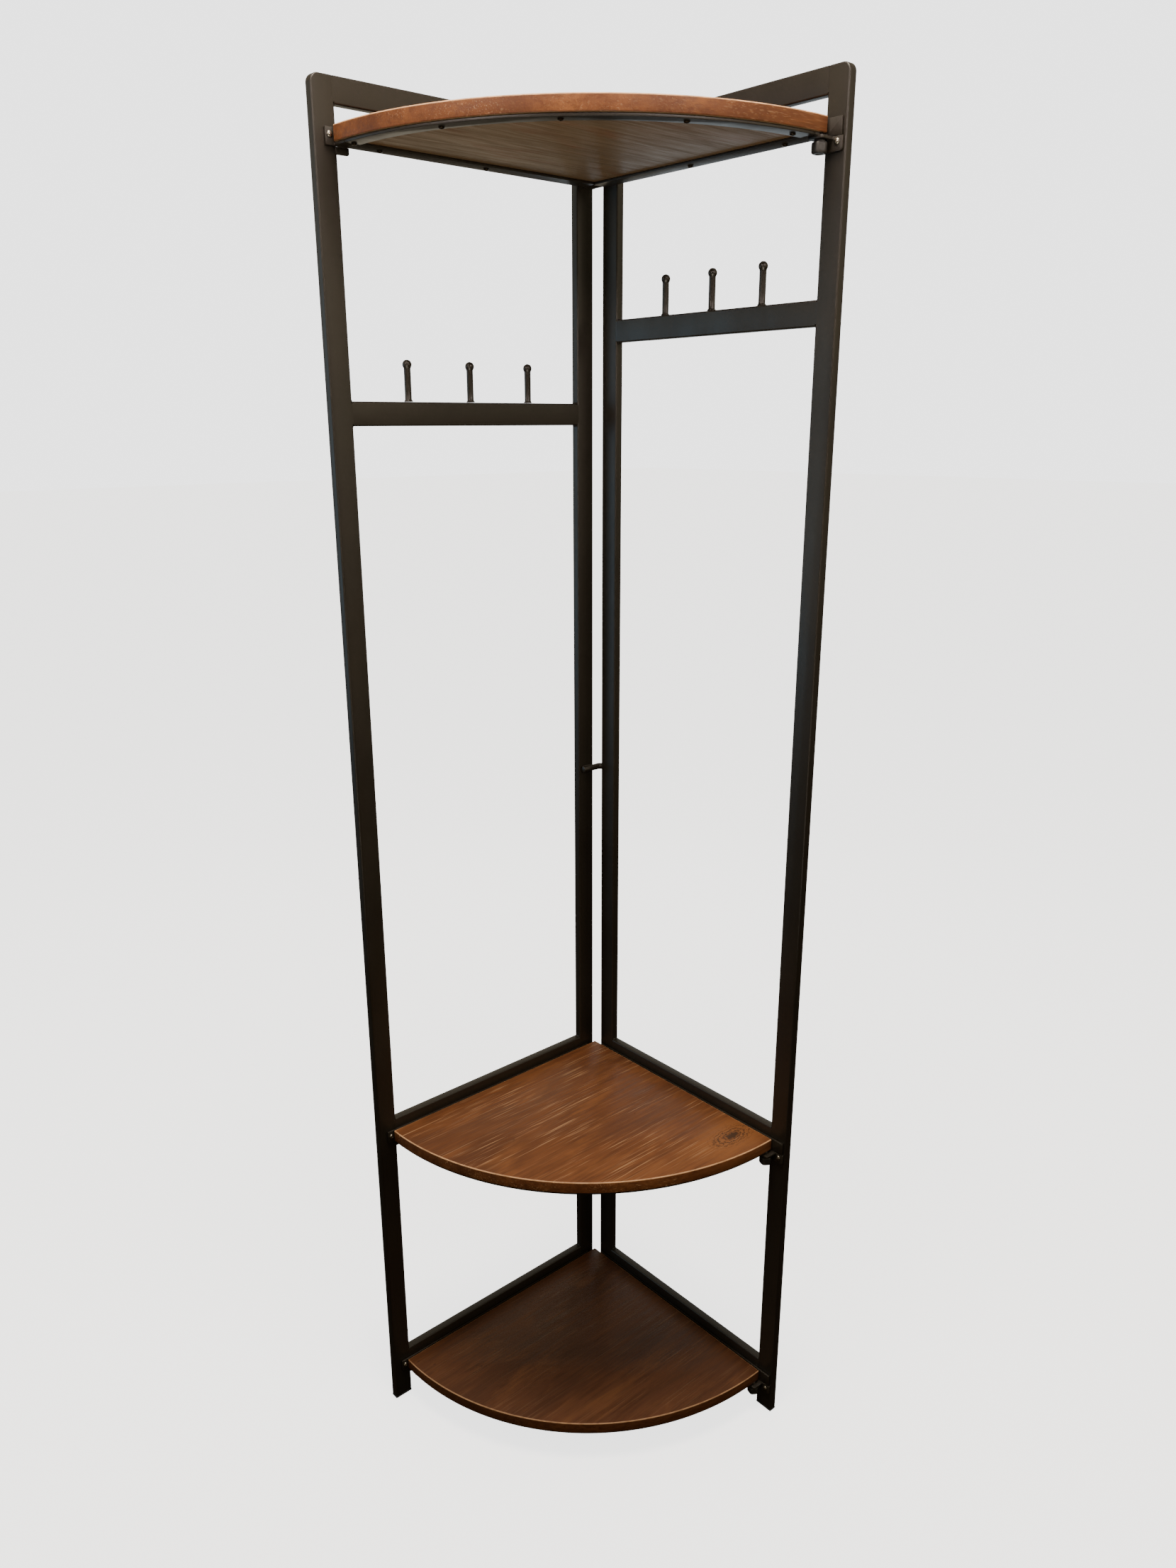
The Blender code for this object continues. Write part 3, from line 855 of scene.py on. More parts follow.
def moved(made: Mesh, place: Sequence[float], turn: Matrix | None = None) -> Mesh:
    """Turn a mesh and then put it in place.

    Args:
        made: The mesh.
        place: Where its origin goes.
        turn: Rotation.

    Returns:
        The same mesh.
    """
    matrix = Matrix.Translation(Vector(place)) @ (turn if turn is not None else Matrix.Identity(4))
    bmesh.ops.transform(made, matrix=matrix, verts=made.verts)
    return made


def recessed(made: Mesh, arm: float, half_width: float, bottom: float, top: float, turn: float = 0.0) -> Mesh:
    """Cut a cross recess for a driver round Z.

    Args:
        made: The mesh, which is used up.
        arm: Length of each arm.
        half_width: Half the width of an arm.
        bottom: Height where the cut starts.
        top: Height where it ends.
        turn: Turn of the cross.

    Returns:
        The mesh with its recess.
    """
    cuts = []
    for quarter in range(2):
        cut = box_mesh((-arm, -half_width, bottom), (arm, half_width, top))
        cuts.append(moved(cut, (0.0, 0.0, 0.0), Matrix.Rotation(math.pi / 2 * quarter + turn, 4, "Z")))
    return combined(made, cuts, "DIFFERENCE")


def middle(node: str) -> tuple[float, float, float]:
    """Centre of a CAD node's box."""
    low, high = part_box(node)
    return ((low.x + high.x) / 2, (low.y + high.y) / 2, (low.z + high.z) / 2)


def piece(
    made: Mesh,
    name: str,
    material: Material,
    nodes: Sequence[str] = (),
    body: str = FRAME_BODY,
    smooth: float = 38.0,
) -> Piece:
    """Turn a mesh into a dressed piece that rides on a body.

    Args:
        made: The mesh, which is used up.
        name: Name of the piece.
        material: Its finish.
        nodes: CAD nodes that it stands for.
        body: CAD body that it moves with.
        smooth: Greatest angle that is shaded smooth, in degrees.

    Returns:
        The object.
    """
    outward(made)
    mesh = bpy.data.meshes.new(name)
    made.to_mesh(mesh)
    made.free()
    mesh.polygons.foreach_set("use_smooth", [True] * len(mesh.polygons))
    mesh.set_sharp_from_angle(angle=math.radians(smooth))
    mesh.materials.append(material)
    obj = bpy.data.objects.new(name, mesh)
    bpy.context.scene.collection.objects.link(obj)
    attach(obj, body)
    if nodes:
        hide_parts(*nodes)
    return obj


# ---- shared places
@dataclass
class Corner:
    """Where the two panel planes meet, and places measured from there."""

    x: float = field(default_factory=lambda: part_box("left_outer_post")[0].x)
    y: float = field(default_factory=lambda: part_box("right_outer_post")[1].y)

    def at(self, along_x: float, along_y: float) -> Plan:
        """Plan position of a point.

        Args:
            along_x: Distance from the left panel's outer plane.
            along_y: Distance from the right panel's outer plane.

        Returns:
            Its place in the frame.
        """
        return (self.x + along_x, self.y - along_y)


@dataclass
class Palette:
    """All the finishes of the hall tree."""

    steel: Material = field(default_factory=PowderCoat().make)
    peg_steel: Material = field(
        default_factory=PowderCoat("powder_coated_peg", gloss=0.34, matt=0.42, wear=0.0).make
    )
    weld: Material = field(
        default_factory=PowderCoat("powder_coated_weld", gloss=0.40, matt=0.55, lump=0.0003).make
    )
    foot: Material = field(
        default_factory=MouldedPlastic(
            "foot_cap_black", tone=(0.010, 0.009, 0.008), rubbed=(0.035, 0.033, 0.030), gloss=0.5, matt=0.65
        ).make
    )
    knob: Material = field(
        default_factory=MouldedPlastic(
            "thumb_knob_black", tone=(0.014, 0.013, 0.012), rubbed=(0.06, 0.056, 0.05), gloss=0.34, matt=0.5
        ).make
    )
    zinc: Material = field(
        default_factory=PlatedSteel(
            "bright_zinc", tone=(0.42, 0.39, 0.33), dull=(0.22, 0.20, 0.165), gloss=0.20, matt=0.38
        ).make
    )
    screw: Material = field(
        default_factory=PlatedSteel(
            "dark_bronze_screw", tone=(0.12, 0.092, 0.060), dull=(0.060, 0.046, 0.031), gloss=0.30, matt=0.50
        ).make
    )


# ---- welded panels
@dataclass
class WeldedPanel:
    """One ladder panel: two posts, four flat-tube rails and their welds."""

    side: Side
    corner: Corner
    palette: Palette
    edge_round: float = 0.0018
    corner_round: float = 0.010
    bead_radius: float = 0.0013
    bead_margin: float = 0.0020
    bead_out: float = 0.35
    bead_in: float = 0.2
    groove: float = 0.0022
    lap: float = 0.0012
    flush: float = 0.00003
    rails: tuple[str, ...] = ("top", "hook", "middle_shelf", "bottom_shelf")

    def along(self) -> int:
        """Axis that the panel runs along."""
        return 1 if self.side is Side.LEFT else 0

    def post(self, place: str) -> Piece:
        """Upright tube with a rounded top corner.

        Args:
            place: outer or inner.

        Returns:
            The piece.
        """
        node = f"{self.side.value}_{place}_post"
        low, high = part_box(node)
        made = box_mesh(low, high)
        axis = self.along()
        outward = low if self.side is Side.LEFT else high
        inward = high if self.side is Side.LEFT else low
        level = outward[axis] if place == "outer" else inward[axis]
        top = edges_along(made, 1 - axis, high.z)
        edges = [edge for edge in top if abs(edge.verts[0].co[axis] - level) < SAME_PLACE]
        round_edges(made, edges, self.corner_round, 14)
        round_edges(made, sharp(made), self.edge_round, 5)
        return piece(made, f"{node}_tube", self.palette.steel, (node,))

    def rail(self, name: str) -> Piece:
        """Level flat tube between the posts.

        Args:
            name: Name of the rail.

        Returns:
            The piece.
        """
        node = f"{self.side.value}_{name}_rail"
        low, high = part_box(node)
        made = box_mesh(low, high)
        round_edges(made, edges_along(made, self.along()), self.edge_round, 5)
        return piece(made, f"{node}_tube", self.palette.steel, (node,))

    def welds(self) -> Piece:
        """Fillet beads above and below each rail end; the faces are ground flush.

        Returns:
            The piece.
        """
        axis, across = self.along(), 1 - self.along()
        beads = []
        for index, name in enumerate(self.rails):
            low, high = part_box(f"{self.side.value}_{name}_rail")
            for turn, end in enumerate((low[axis], high[axis])):
                inward = 1.0 if turn == 0 else -1.0
                for level, shift in ((low.z, -self.bead_out), (high.z, self.bead_out)):
                    if name == "top" and shift > 0:
                        continue
                    ends = []
                    for face in (low[across] + self.bead_margin, high[across] - self.bead_margin):
                        point = Vector((0.0, 0.0, level + shift * self.bead_radius))
                        point[axis] = end + inward * self.bead_in * self.bead_radius
                        point[across] = face
                        ends.append(point)
                    beads.append(bead(*ends, self.bead_radius, 3.0, 0.23 * index + 0.4 * turn))
        name = f"{self.side.value}_panel_welds"
        return piece(gather(beads), name, self.palette.weld, smooth=60.0)

    def seams(self) -> Piece:
        """Weld metal ground flush with the faces, in the groove between each rail end and its post.

        Returns:
            The piece.
        """
        axis, across = self.along(), 1 - self.along()
        fills = []
        for name in self.rails:
            low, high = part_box(f"{self.side.value}_{name}_rail")
            for end, inward in ((low[axis], 1.0), (high[axis], -1.0)):
                for face, deeper in ((low[across], 1.0), (high[across], -1.0)):
                    one, two = Vector(low), Vector(high)
                    one[axis], two[axis] = sorted((end - inward * self.groove, end + inward * self.lap))
                    one[across], two[across] = sorted((face + deeper * self.flush, face + deeper * self.lap))
                    one.z, two.z = low.z + self.groove, high.z - self.groove
                    fills.append(box_mesh(one, two, 0.0002, 1))
        name = f"{self.side.value}_panel_ground_seams"
        return piece(gather(fills), name, self.palette.peg_steel)

    def cap(self, place: str) -> Piece:
        """Moulded foot cap with a soft rim, a foot pad and its plug.

        Args:
            place: outer or inner.

        Returns:
            The piece.
        """
        node = f"{self.side.value}_{place}_foot_cap"
        low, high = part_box(node)
        rim_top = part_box(f"{self.side.value}_{place}_post")[0].z - FIT_GAP
        blocks = []
        for inset, bottom, top, radius, steps in (
            (0.0, low.z + 0.0006, rim_top, 0.0009, 4),
            (0.0020, low.z, low.z + 0.0020, 0.0004, 2),
            (0.0022, rim_top - 0.001, high.z, 0.0006, 2),
        ):
            corners = ((low.x + inset, low.y + inset, bottom), (high.x - inset, high.y - inset, top))
            blocks.append(box_mesh(*corners, radius, steps))
        made = combined(blocks[0], blocks[1:], "UNION")
        return piece(made, f"{node}_moulding", self.palette.foot, (node,))

    def build(self) -> list[Piece]:
        """Make every piece of the panel.

        Returns:
            The pieces.
        """
        made = [self.post("outer"), self.post("inner")]
        made += [self.rail(name) for name in self.rails]
        made += [self.welds(), self.seams(), self.cap("outer"), self.cap("inner")]
        return made


# ---- pegs
@dataclass
class HookPegs:
    """Upright pegs with ball ends, welded on a hook rail."""

    side: Side
    palette: Palette
    count: int = 3
    rod: float = 0.0041
    ball: float = 0.0056
    collar: float = 0.0012

    def profile(self, low: float, high: float) -> list[Plan]:
        """Radius and height from the top of the ball to the foot of the weld.

        Args:
            low: Height of the foot.
            high: Height of the top.

        Returns:
            The profile.
        """
        ball = self.ball
        centre = high - ball
        neck = math.pi - math.asin(self.rod / ball)
        steps = 14
        points = [(0.0, high)]
        for step in range(1, steps + 1):
            angle = (neck - 0.10) * step / steps
            points.append((ball * math.sin(angle), centre + ball * math.cos(angle)))
        blend = centre + ball * math.cos(neck)
        points += [(self.rod + 0.00012, blend - 0.0003), (self.rod, blend - 0.0010), (self.rod, low + 0.012)]
        points += [(self.rod, low + 0.0024), (self.rod + 0.35 * self.collar, low + 0.0016)]
        points += [(self.rod + 0.80 * self.collar, low + 0.0010), (self.rod + self.collar, low + 0.0003)]
        points += [(self.rod + 0.9 * self.collar, low), (0.0, low)]
        return points

    def peg(self, index: int) -> Piece:
        """One peg.

        Args:
            index: Its number along the rail.

        Returns:
            The piece.
        """
        node = f"{self.side.value}_peg_{index}"
        low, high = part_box(node)
        made = turned(self.profile(low.z, high.z), 32)
        foot = low.z + 0.002
        for vert in made.verts:
            if vert.co.z < foot and vert.co.xy.length > self.rod + 0.0002:
                angle = math.atan2(vert.co.y, vert.co.x)
                factor = 1.0 + 0.03 * math.sin(5 * angle + index) + 0.02 * math.sin(9 * angle)
                vert.co.x *= factor
                vert.co.y *= factor
        moved(made, (*middle(node)[:2], 0.0))
        return piece(made, f"{node}_rod", self.palette.peg_steel, (node,), smooth=50.0)

    def build(self) -> list[Piece]:
        """Make every peg of the rail."""
        return [self.peg(index + 1) for index in range(self.count)]


# ---- corner links
@dataclass
class CornerLinks:
    """The bent round bar and the flat strap that join the two panels in the corner."""

    corner: Corner
    palette: Palette
    bar_bend_steps: int = 16
    strap_edge: float = 0.0006

    def bar(self) -> Piece:
        """Round bar from the left inner post's face, bent a quarter turn into the right one's edge.

        Returns:
            The piece.
        """
        low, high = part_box("middle_corner_link")
        radius = (high.z - low.z) / 2
        height = (high.z + low.z) / 2
        line = low.x + radius
        bend = (high.x - 0.001) - line
        level = high.y - radius
        turn_from = level - bend
        path = [Vector((line, low.y, height)), Vector((line, (low.y + turn_from) / 2, height))]
        for step in range(self.bar_bend_steps + 1):
            angle = math.pi / 2 * step / self.bar_bend_steps
            path.append(Vector((line + bend * (1 - math.cos(angle)), turn_from + bend * math.sin(angle), height)))
        path.append(Vector((high.x, level, height)))
        made = swept(path, lambda share: radius, 28)
        round_edges(made, sharp(made, 60.0), 0.0006, 2)
        name = "middle_corner_link"
        return piece(made, f"{name}_bar", self.palette.steel, (name,), smooth=50.0)

    def bar_welds(self) -> Piece:
        """Beads where the bar lies on the left post and where it meets the right post.

        Returns:
            The piece.
        """
        low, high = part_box("middle_corner_link")
        radius = (high.z - low.z) / 2
        height = (high.z + low.z) / 2
        beads = []
        for sign in (-1.0, 1.0):
            x = low.x + 0.0011
            z = height + sign * (radius - 0.0011)
            ends = [Vector((x, low.y + along, z)) for along in (0.001, 0.019)]
            beads.append(bead(*ends, 0.0015, 5.0, 0.2 + sign))
        ring = []
        level = high.y - radius
        reach = radius + 0.0001
        for step in range(25):
            angle = math.tau * step / 24
            across, up = reach * math.cos(angle), reach * math.sin(angle)
            ring.append(Vector((high.x - 0.0006, level + across, height + up)))
        beads.append(swept(ring, lambda share: 0.0010 * (1 + 0.12 * math.sin(math.tau * 7 * share)), 8))
        return piece(gather(beads), "middle_corner_link_welds", self.palette.weld, smooth=60.0)

    def strap(self) -> Piece:
        """Joggled flat strap under the top shelf's back corner.

        Returns:
            The piece.
        """
        low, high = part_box("top_corner_strap")
        post_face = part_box("left_inner_post")[1].x
        left_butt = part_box("left_inner_post")[1].y + 0.0003
        thick = 0.003
        jog = 0.0012
        inner = high.y
        lap_back = low.y + thick
        outline = [
            (low.x, left_butt),
            (post_face, left_butt),
            (post_face + 2 * jog, low.y),
            (high.x, low.y),
            (high.x, lap_back),
            (post_face + jog, lap_back),
            (post_face - jog, inner),
            (low.x, inner),
        ]
        made = prism(outline, low.z, high.z)
        round_edges(made, sharp(made, 20.0), self.strap_edge, 3)
        return piece(made, "top_corner_strap_bar", self.palette.steel, ("top_corner_strap",))

    def build(self) -> list[Piece]:
        """Make the links."""
        return [self.bar(), self.bar_welds(), self.strap()]


# ---- shelves
@dataclass
class FrontCurve:
    """The elliptic front edge of a shelf, in distances from the corner."""

    corner: Corner
    low: Vector
    high: Vector
    blunt: float = 0.007

    def axes(self, inset: float = 0.0) -> tuple[float, float, float, float]:
        """Centre and half-axes.

        Args:
            inset: Margin inwards.

        Returns:
            Centre along x and y, then half-axes along x and y.
        """
        start = self.low.x - self.corner.x
        side_right = self.high.x - self.low.x
        side_left = self.high.y - self.low.y
        across_x, across_y = side_right, side_left
        for _ in range(6):
            across_x = side_right / math.sqrt(1 - (self.blunt / across_y) ** 2)
            across_y = side_left / math.sqrt(1 - (self.blunt / across_x) ** 2)
        return start, start, across_x - inset, across_y - inset

    def points(self, inset: float, start: float, steps: int) -> list[Plan]:
        """Points of the curve.

        Args:
            inset: Margin inwards.
            start: Distance from the panels where it starts and ends.
            steps: Number of chords.

        Returns:
            Plan points.
        """
        cx, cy, ax, ay = self.axes(inset)
        first = math.asin((start - cx) / ax)
        last = math.acos((start - cy) / ay)
        made = []
        for step in range(steps + 1):
            angle = first + (last - first) * step / steps
            made.append(self.corner.at(cx + ax * math.sin(angle), cy + ay * math.cos(angle)))
        return made


@dataclass
class Shelf:
    """A quarter-round board on its steel under-frame, with its fasteners."""

    level: Level
    corner: Corner
    palette: Palette
    wood: RusticWood
    arris: float = 0.0016
    sheet_edge: float = 0.0005
    strip_setback: float = 0.0025
    strip_width: float = 0.020
    screw_grip: float = 0.014
    screw_inset: float = 0.0254
    lug_corner: float = 0.0030
    weld_radius: float = 0.0010

    def node(self, part: str) -> str:
        """Name of one of the shelf's CAD nodes.

        Args:
            part: Name of the part.

        Returns:
            The node's name.
        """
        return f"{self.level.value}_shelf_{part}"

    def curve(self) -> FrontCurve:
        """The board's front edge."""
        low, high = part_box(self.node("board"))
        return FrontCurve(self.corner, low, high)

    def board(self) -> Piece:
        """Board with softly rubbed edges.

        Returns:
            The piece.
        """
        low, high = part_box(self.node("board"))
        curve = self.curve()
        blunt = low.x - self.corner.x + curve.blunt
        outline = [(low.x, high.y), (low.x, low.y), *curve.points(0.0, blunt, 120), (high.x, high.y)]
        made = prism(outline, low.z, high.z)
        round_edges(made, sharp(made, 25.0), self.arris, 4)
        node = self.node("board")
        return piece(made, f"{node}_planed", self.wood.make(), (node,), smooth=32.0)

    def screw_places(self) -> list[tuple[str, float, float]]:
        """Name and plan position of each screw under the shelf.

        Returns:
            Name of the place, then its plan position, for each screw.
        """
        low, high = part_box(self.node("board"))
        cx, cy, ax, ay = self.curve().axes(self.strip_setback + self.strip_width / 2)
        places = []
        for index in range(5):
            angle = math.radians(3.4 + 20.1 * index)
            x, y = self.corner.at(cx + ax * math.sin(angle), cy + ay * math.cos(angle))
            places.append((f"front_{index + 1}", x, y))
        for index, part in enumerate((0.475, 0.860)):
            left = self.corner.at(self.screw_inset, cy + part * (high.y - low.y))
            right = self.corner.at(cx + part * (high.x - low.x), self.screw_inset)
            places += [(f"left_{index + 1}", *left), (f"right_{index + 1}", *right)]
        return places

    def screw(self, name: str, x: float, y: float) -> Piece:
        """Pan-head screw with a cross recess, driven up from below.

        Args:
            name: Name of its place.
            x: Place.
            y: Place.

        Returns:
            The piece.
        """
        low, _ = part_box(self.node("front_strip"))
        head, dome, shank = 0.0034, 0.0020, 0.0017
        tip = self.screw_grip
        profile = [(0.0, tip), (0.35 * shank, tip - 0.0002), (shank, tip - 0.0022)]
        profile += thread(shank, 0.74, tip - 0.0030, -0.0011, 9)
        profile += [(shank, 0.0), (head - 0.0002, 0.0), (head, -0.0003), (head, -0.0009)]
        profile += [(0.86 * head, -0.0014), (0.62 * head, -0.0018), (0.30 * head, -dome), (0.0, -dome)]
        made = turned(profile, 24)
        made = recessed(made, 0.0019, 0.0004, -dome - 0.001, -dome + 0.0011)
        moved(made, (x, y, low.z - FIT_GAP), Matrix.Rotation(3.1 * x + 17.0 * y, 4, "Z"))
        nodes = (self.node(f"screw_{name}"),) if self.level is Level.TOP else ()
        title = f"{self.level.value}_shelf_screw_{name}_driven"
        return piece(made, title, self.palette.screw, nodes, smooth=40.0)

    def angle(self, side: Side) -> Piece:
        """Angle iron along one straight edge, with a bend radius between its leg and its flange.

        Args:
            side: The panel that it is bolted to.

        Returns:
            The piece.
        """
        node = self.node(f"{side.value}_angle")
        low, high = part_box(node)
        strip_low, strip_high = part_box(self.node("front_strip"))
        board_low, board_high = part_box(self.node("board"))
        sheet = strip_high.z - strip_low.z
        axis = 0 if side is Side.LEFT else 1
        if side is Side.LEFT:
            leg = box_mesh(low, (low.x + sheet, high.y, high.z))
            flange_far = board_low.y + self.strip_setback
            flange_near = self.corner.y - (high.x - self.corner.x) - 0.0003
            flange = box_mesh((low.x, flange_far, low.z), (high.x, flange_near, low.z + sheet))
        else:
            leg = box_mesh((low.x, high.y - sheet, low.z), high)
            flange_far = board_high.x - self.strip_setback
            flange = box_mesh((low.x, low.y, low.z), (flange_far, high.y, low.z + sheet))
        made = combined(leg, (flange,), "UNION")
        made.normal_update()
        heel = low.x if side is Side.LEFT else high.y
        bend = [
            edge
            for edge in sharp(made)
            if all(abs(v.co.z - low.z) < 2e-5 and abs(v.co[axis] - heel) < 2e-5 for v in edge.verts)
            and (edge.verts[0].co - edge.verts[1].co).length > 0.1
        ]
        round_edges(made, bend, 0.0016, 5)
        round_edges(made, sharp(made, 40.0), self.sheet_edge, 2)
        return piece(made, f"{node}_iron", self.palette.steel, (node,))

    def strip(self) -> Piece:
        """Curved flat bar under the front edge.

        Returns:
            The piece.
        """
        node = self.node("front_strip")
        low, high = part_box(node)
        curve = self.curve()
        inner = low.x - self.corner.x
        outer_arc = curve.points(self.strip_setback, inner, 90)
        inner_arc = curve.points(self.strip_setback + self.strip_width, inner, 90)
        made = prism([*outer_arc, *inner_arc[::-1]], low.z, high.z)
        round_edges(made, sharp(made, 40.0), self.sheet_edge, 3)
        return piece(made, f"{node}_bar", self.palette.steel, (node,))

    def frame_welds(self) -> Piece:
        """Seams where the strip meets the two flanges and where the tab hangs below.

        Returns:
            The piece.
        """
        strip_low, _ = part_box(self.node("front_strip"))
        curve = self.curve()
        inner = strip_low.x - self.corner.x
        seam = strip_low.z + 0.0007
        beads = []
        outer = curve.points(self.strip_setback, inner, 4)
        inside = curve.points(self.strip_setback + self.strip_width, inner, 4)
        for index, place in enumerate((0, -1)):
            first, last = Vector((*outer[place], seam)), Vector((*inside[place], seam))
            beads.append(bead(first.lerp(last, 0.06), first.lerp(last, 0.94), self.weld_radius, 7.0, 0.3 * index))
        tab_low, tab_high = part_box(self.node("left_tab"))
        ends = [Vector((tab_high.x, y, tab_high.z)) for y in (tab_low.y + 0.002, tab_high.y - 0.002)]
        beads.append(bead(ends[0], ends[1], self.weld_radius, 5.0))
        return piece(gather(beads), self.node("frame_welds"), self.palette.weld, smooth=60.0)

    def tab(self) -> Piece:
        """Left tab below the flange, with rounded lower corners.

        Returns:
            The piece.
        """
        node = self.node("left_tab")
        low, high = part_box(node)
        made = box_mesh(low, high)
        round_edges(made, edges_along(made, 0, low.z), 0.0022, 6)
        round_edges(made, sharp(made, 40.0), self.sheet_edge, 2)
        return piece(made, f"{node}_plate", self.palette.steel, (node,))

    def lug(self) -> Piece:
        """Right bent lug: a face plate on the post and an ear for the knob.

        Returns:
            The piece.
        """
        node = self.node("right_lug")
        low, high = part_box(node)
        knob_x, knob_y, _ = middle(self.node("knob"))
        sheet = 0.003
        plate = box_mesh((knob_x - 0.0085, high.y - sheet, low.z), high)
        round_edges(plate, edges_along(plate, 1, low.z), self.lug_corner, 6)
        ear = box_mesh((low.x, low.y, high.z - sheet), (knob_x + 0.0095, high.y - 0.0010, high.z))
        front = [edge for edge in edges_along(ear, 2) if edge.verts[0].co.y < knob_y]
        round_edges(ear, front, self.lug_corner, 6)
        made = combined(plate, (ear,), "UNION")
        round_edges(made, sharp(made, 50.0), 0.0003, 2)
        return piece(made, f"{node}_bracket", self.palette.steel, (node,))

    def bolt(self, side: Side) -> Piece:
        """Dome-headed bolt with a thin washer face and a cross recess.

        Args:
            side: The post that it goes into.

        Returns:
            The piece.
        """
        node = self.node(f"{side.value}_bolt")
        low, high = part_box(node)
        axis = 0 if side is Side.LEFT else 1
        length = high[axis] - low[axis]
        radius = (high.z - low.z) / 2
        dome, shank, pitch = 0.0024, 0.0025, 0.0008
        profile = [(0.0, dome), (0.22 * radius, dome)]
        for step in range(2, 11):
            angle = math.pi / 2 * step / 10
            profile.append((radius * math.sin(angle), 0.0005 + (dome - 0.0005) * math.cos(angle)))
        profile += [(radius, 0.00015), (radius - 0.00015, 0.0), (shank, 0.0)]
        grip = length - dome
        profile += thread(shank, 0.86, -0.0009, -pitch, int(grip / pitch) - 1)
        profile += [(shank * 0.8, -grip), (0.0, -grip)]
        made = turned(profile, 32)
        made = recessed(made, 0.0017, 0.00038, dome - 0.0011, dome + 0.001, 0.5)
        place = list(middle(node))
        place[axis] = high.x - dome if side is Side.LEFT else low.y + dome
        moved(made, place, Matrix.Rotation(math.pi / 2, 4, "Y" if side is Side.LEFT else "X"))
        return piece(made, f"{node}_domed", self.palette.zinc, (node,), smooth=40.0)

    def knob(self) -> Piece:
        """Lobed thumb knob on its stud, which turns on its own body.

        Returns:
            The piece.
        """
        node = self.node("knob")
        low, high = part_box(node)
        reach = (high.x - low.x) / 2
        lobes, depth = 5, 0.0009
        stud, stud_length = 0.0030, 0.0150
        base = high.z - stud_length
        thick = base - low.z
        body_top = -0.0020
        body = [(0.0, -thick + 0.0008), (0.45 * reach, -thick + 0.0008), (0.52 * reach, -thick)]
        body += [(0.80 * reach, -thick), (0.92 * reach, -thick + 0.0005), (0.99 * reach, -thick + 0.0015)]
        body += [(reach, -thick + 0.0028), (reach, body_top - 0.0026), (0.99 * reach, body_top - 0.0013)]
        body += [(0.93 * reach, body_top - 0.0004), (0.82 * reach, body_top), (0.0068, body_top)]
        body += [(0.0064, body_top + 0.0002), (0.0062, -0.0003), (0.0059, 0.0), (0.0031, 0.0)]
        body += [(stud, 0.0002)]
        body += thread(stud, 0.86, 0.0008, 0.0009, 15)
        body += [(stud * 0.8, stud_length), (0.0, stud_length)]

        def lobed(angle: float, radius: float) -> float:
            """Lobes that fade out towards the axis.

            Args:
                angle: Angle round the knob.
                radius: Radius there.

            Returns:
                Factor on the radius.
            """
            share = min(1.0, max(0.0, (radius / reach - 0.70) / 0.25))
            return 1.0 - share * depth / reach * (1 - math.cos(lobes * angle)) / 2

        made = turned(body, 100, lobed)
        moved(made, (*middle(node)[:2], base))
        rider = f"{self.level.value}_knob"
        return piece(made, f"{node}_lobed", self.palette.knob, (node,), rider, 40.0)

    def build(self) -> list[Piece]:
        """Make every piece of the shelf.

        Returns:
            The pieces.
        """
        made = [self.board(), self.angle(Side.LEFT), self.angle(Side.RIGHT), self.strip(), self.frame_welds()]
        made += [self.tab(), self.lug(), self.bolt(Side.LEFT), self.bolt(Side.RIGHT), self.knob()]
        made += [self.screw(*place) for place in self.screw_places()]
        return made


# ---- stage
@dataclass
class Softbox:
    """One rectangular studio light."""

    name: str
    place: Colour
    aim: Colour
    size: Plan
    power: float
    tint: Colour
    spread: float = 180.0

    def build(self) -> Piece:
        """Make the light.

        Returns:
            The light.
        """
        data = bpy.data.lights.new(self.name, "AREA")
        data.shape = "RECTANGLE"
        data.size, data.size_y = self.size
        data.energy = self.power
        data.color = self.tint
        data.spread = math.radians(self.spread)
        obj = bpy.data.objects.new(self.name, data)
        bpy.context.scene.collection.objects.link(obj)
        obj.visible_camera = False
        obj.location = self.place
        obj.rotation_euler = (Vector(self.aim) - Vector(self.place)).to_track_quat("-Z", "Y").to_euler()
        return obj


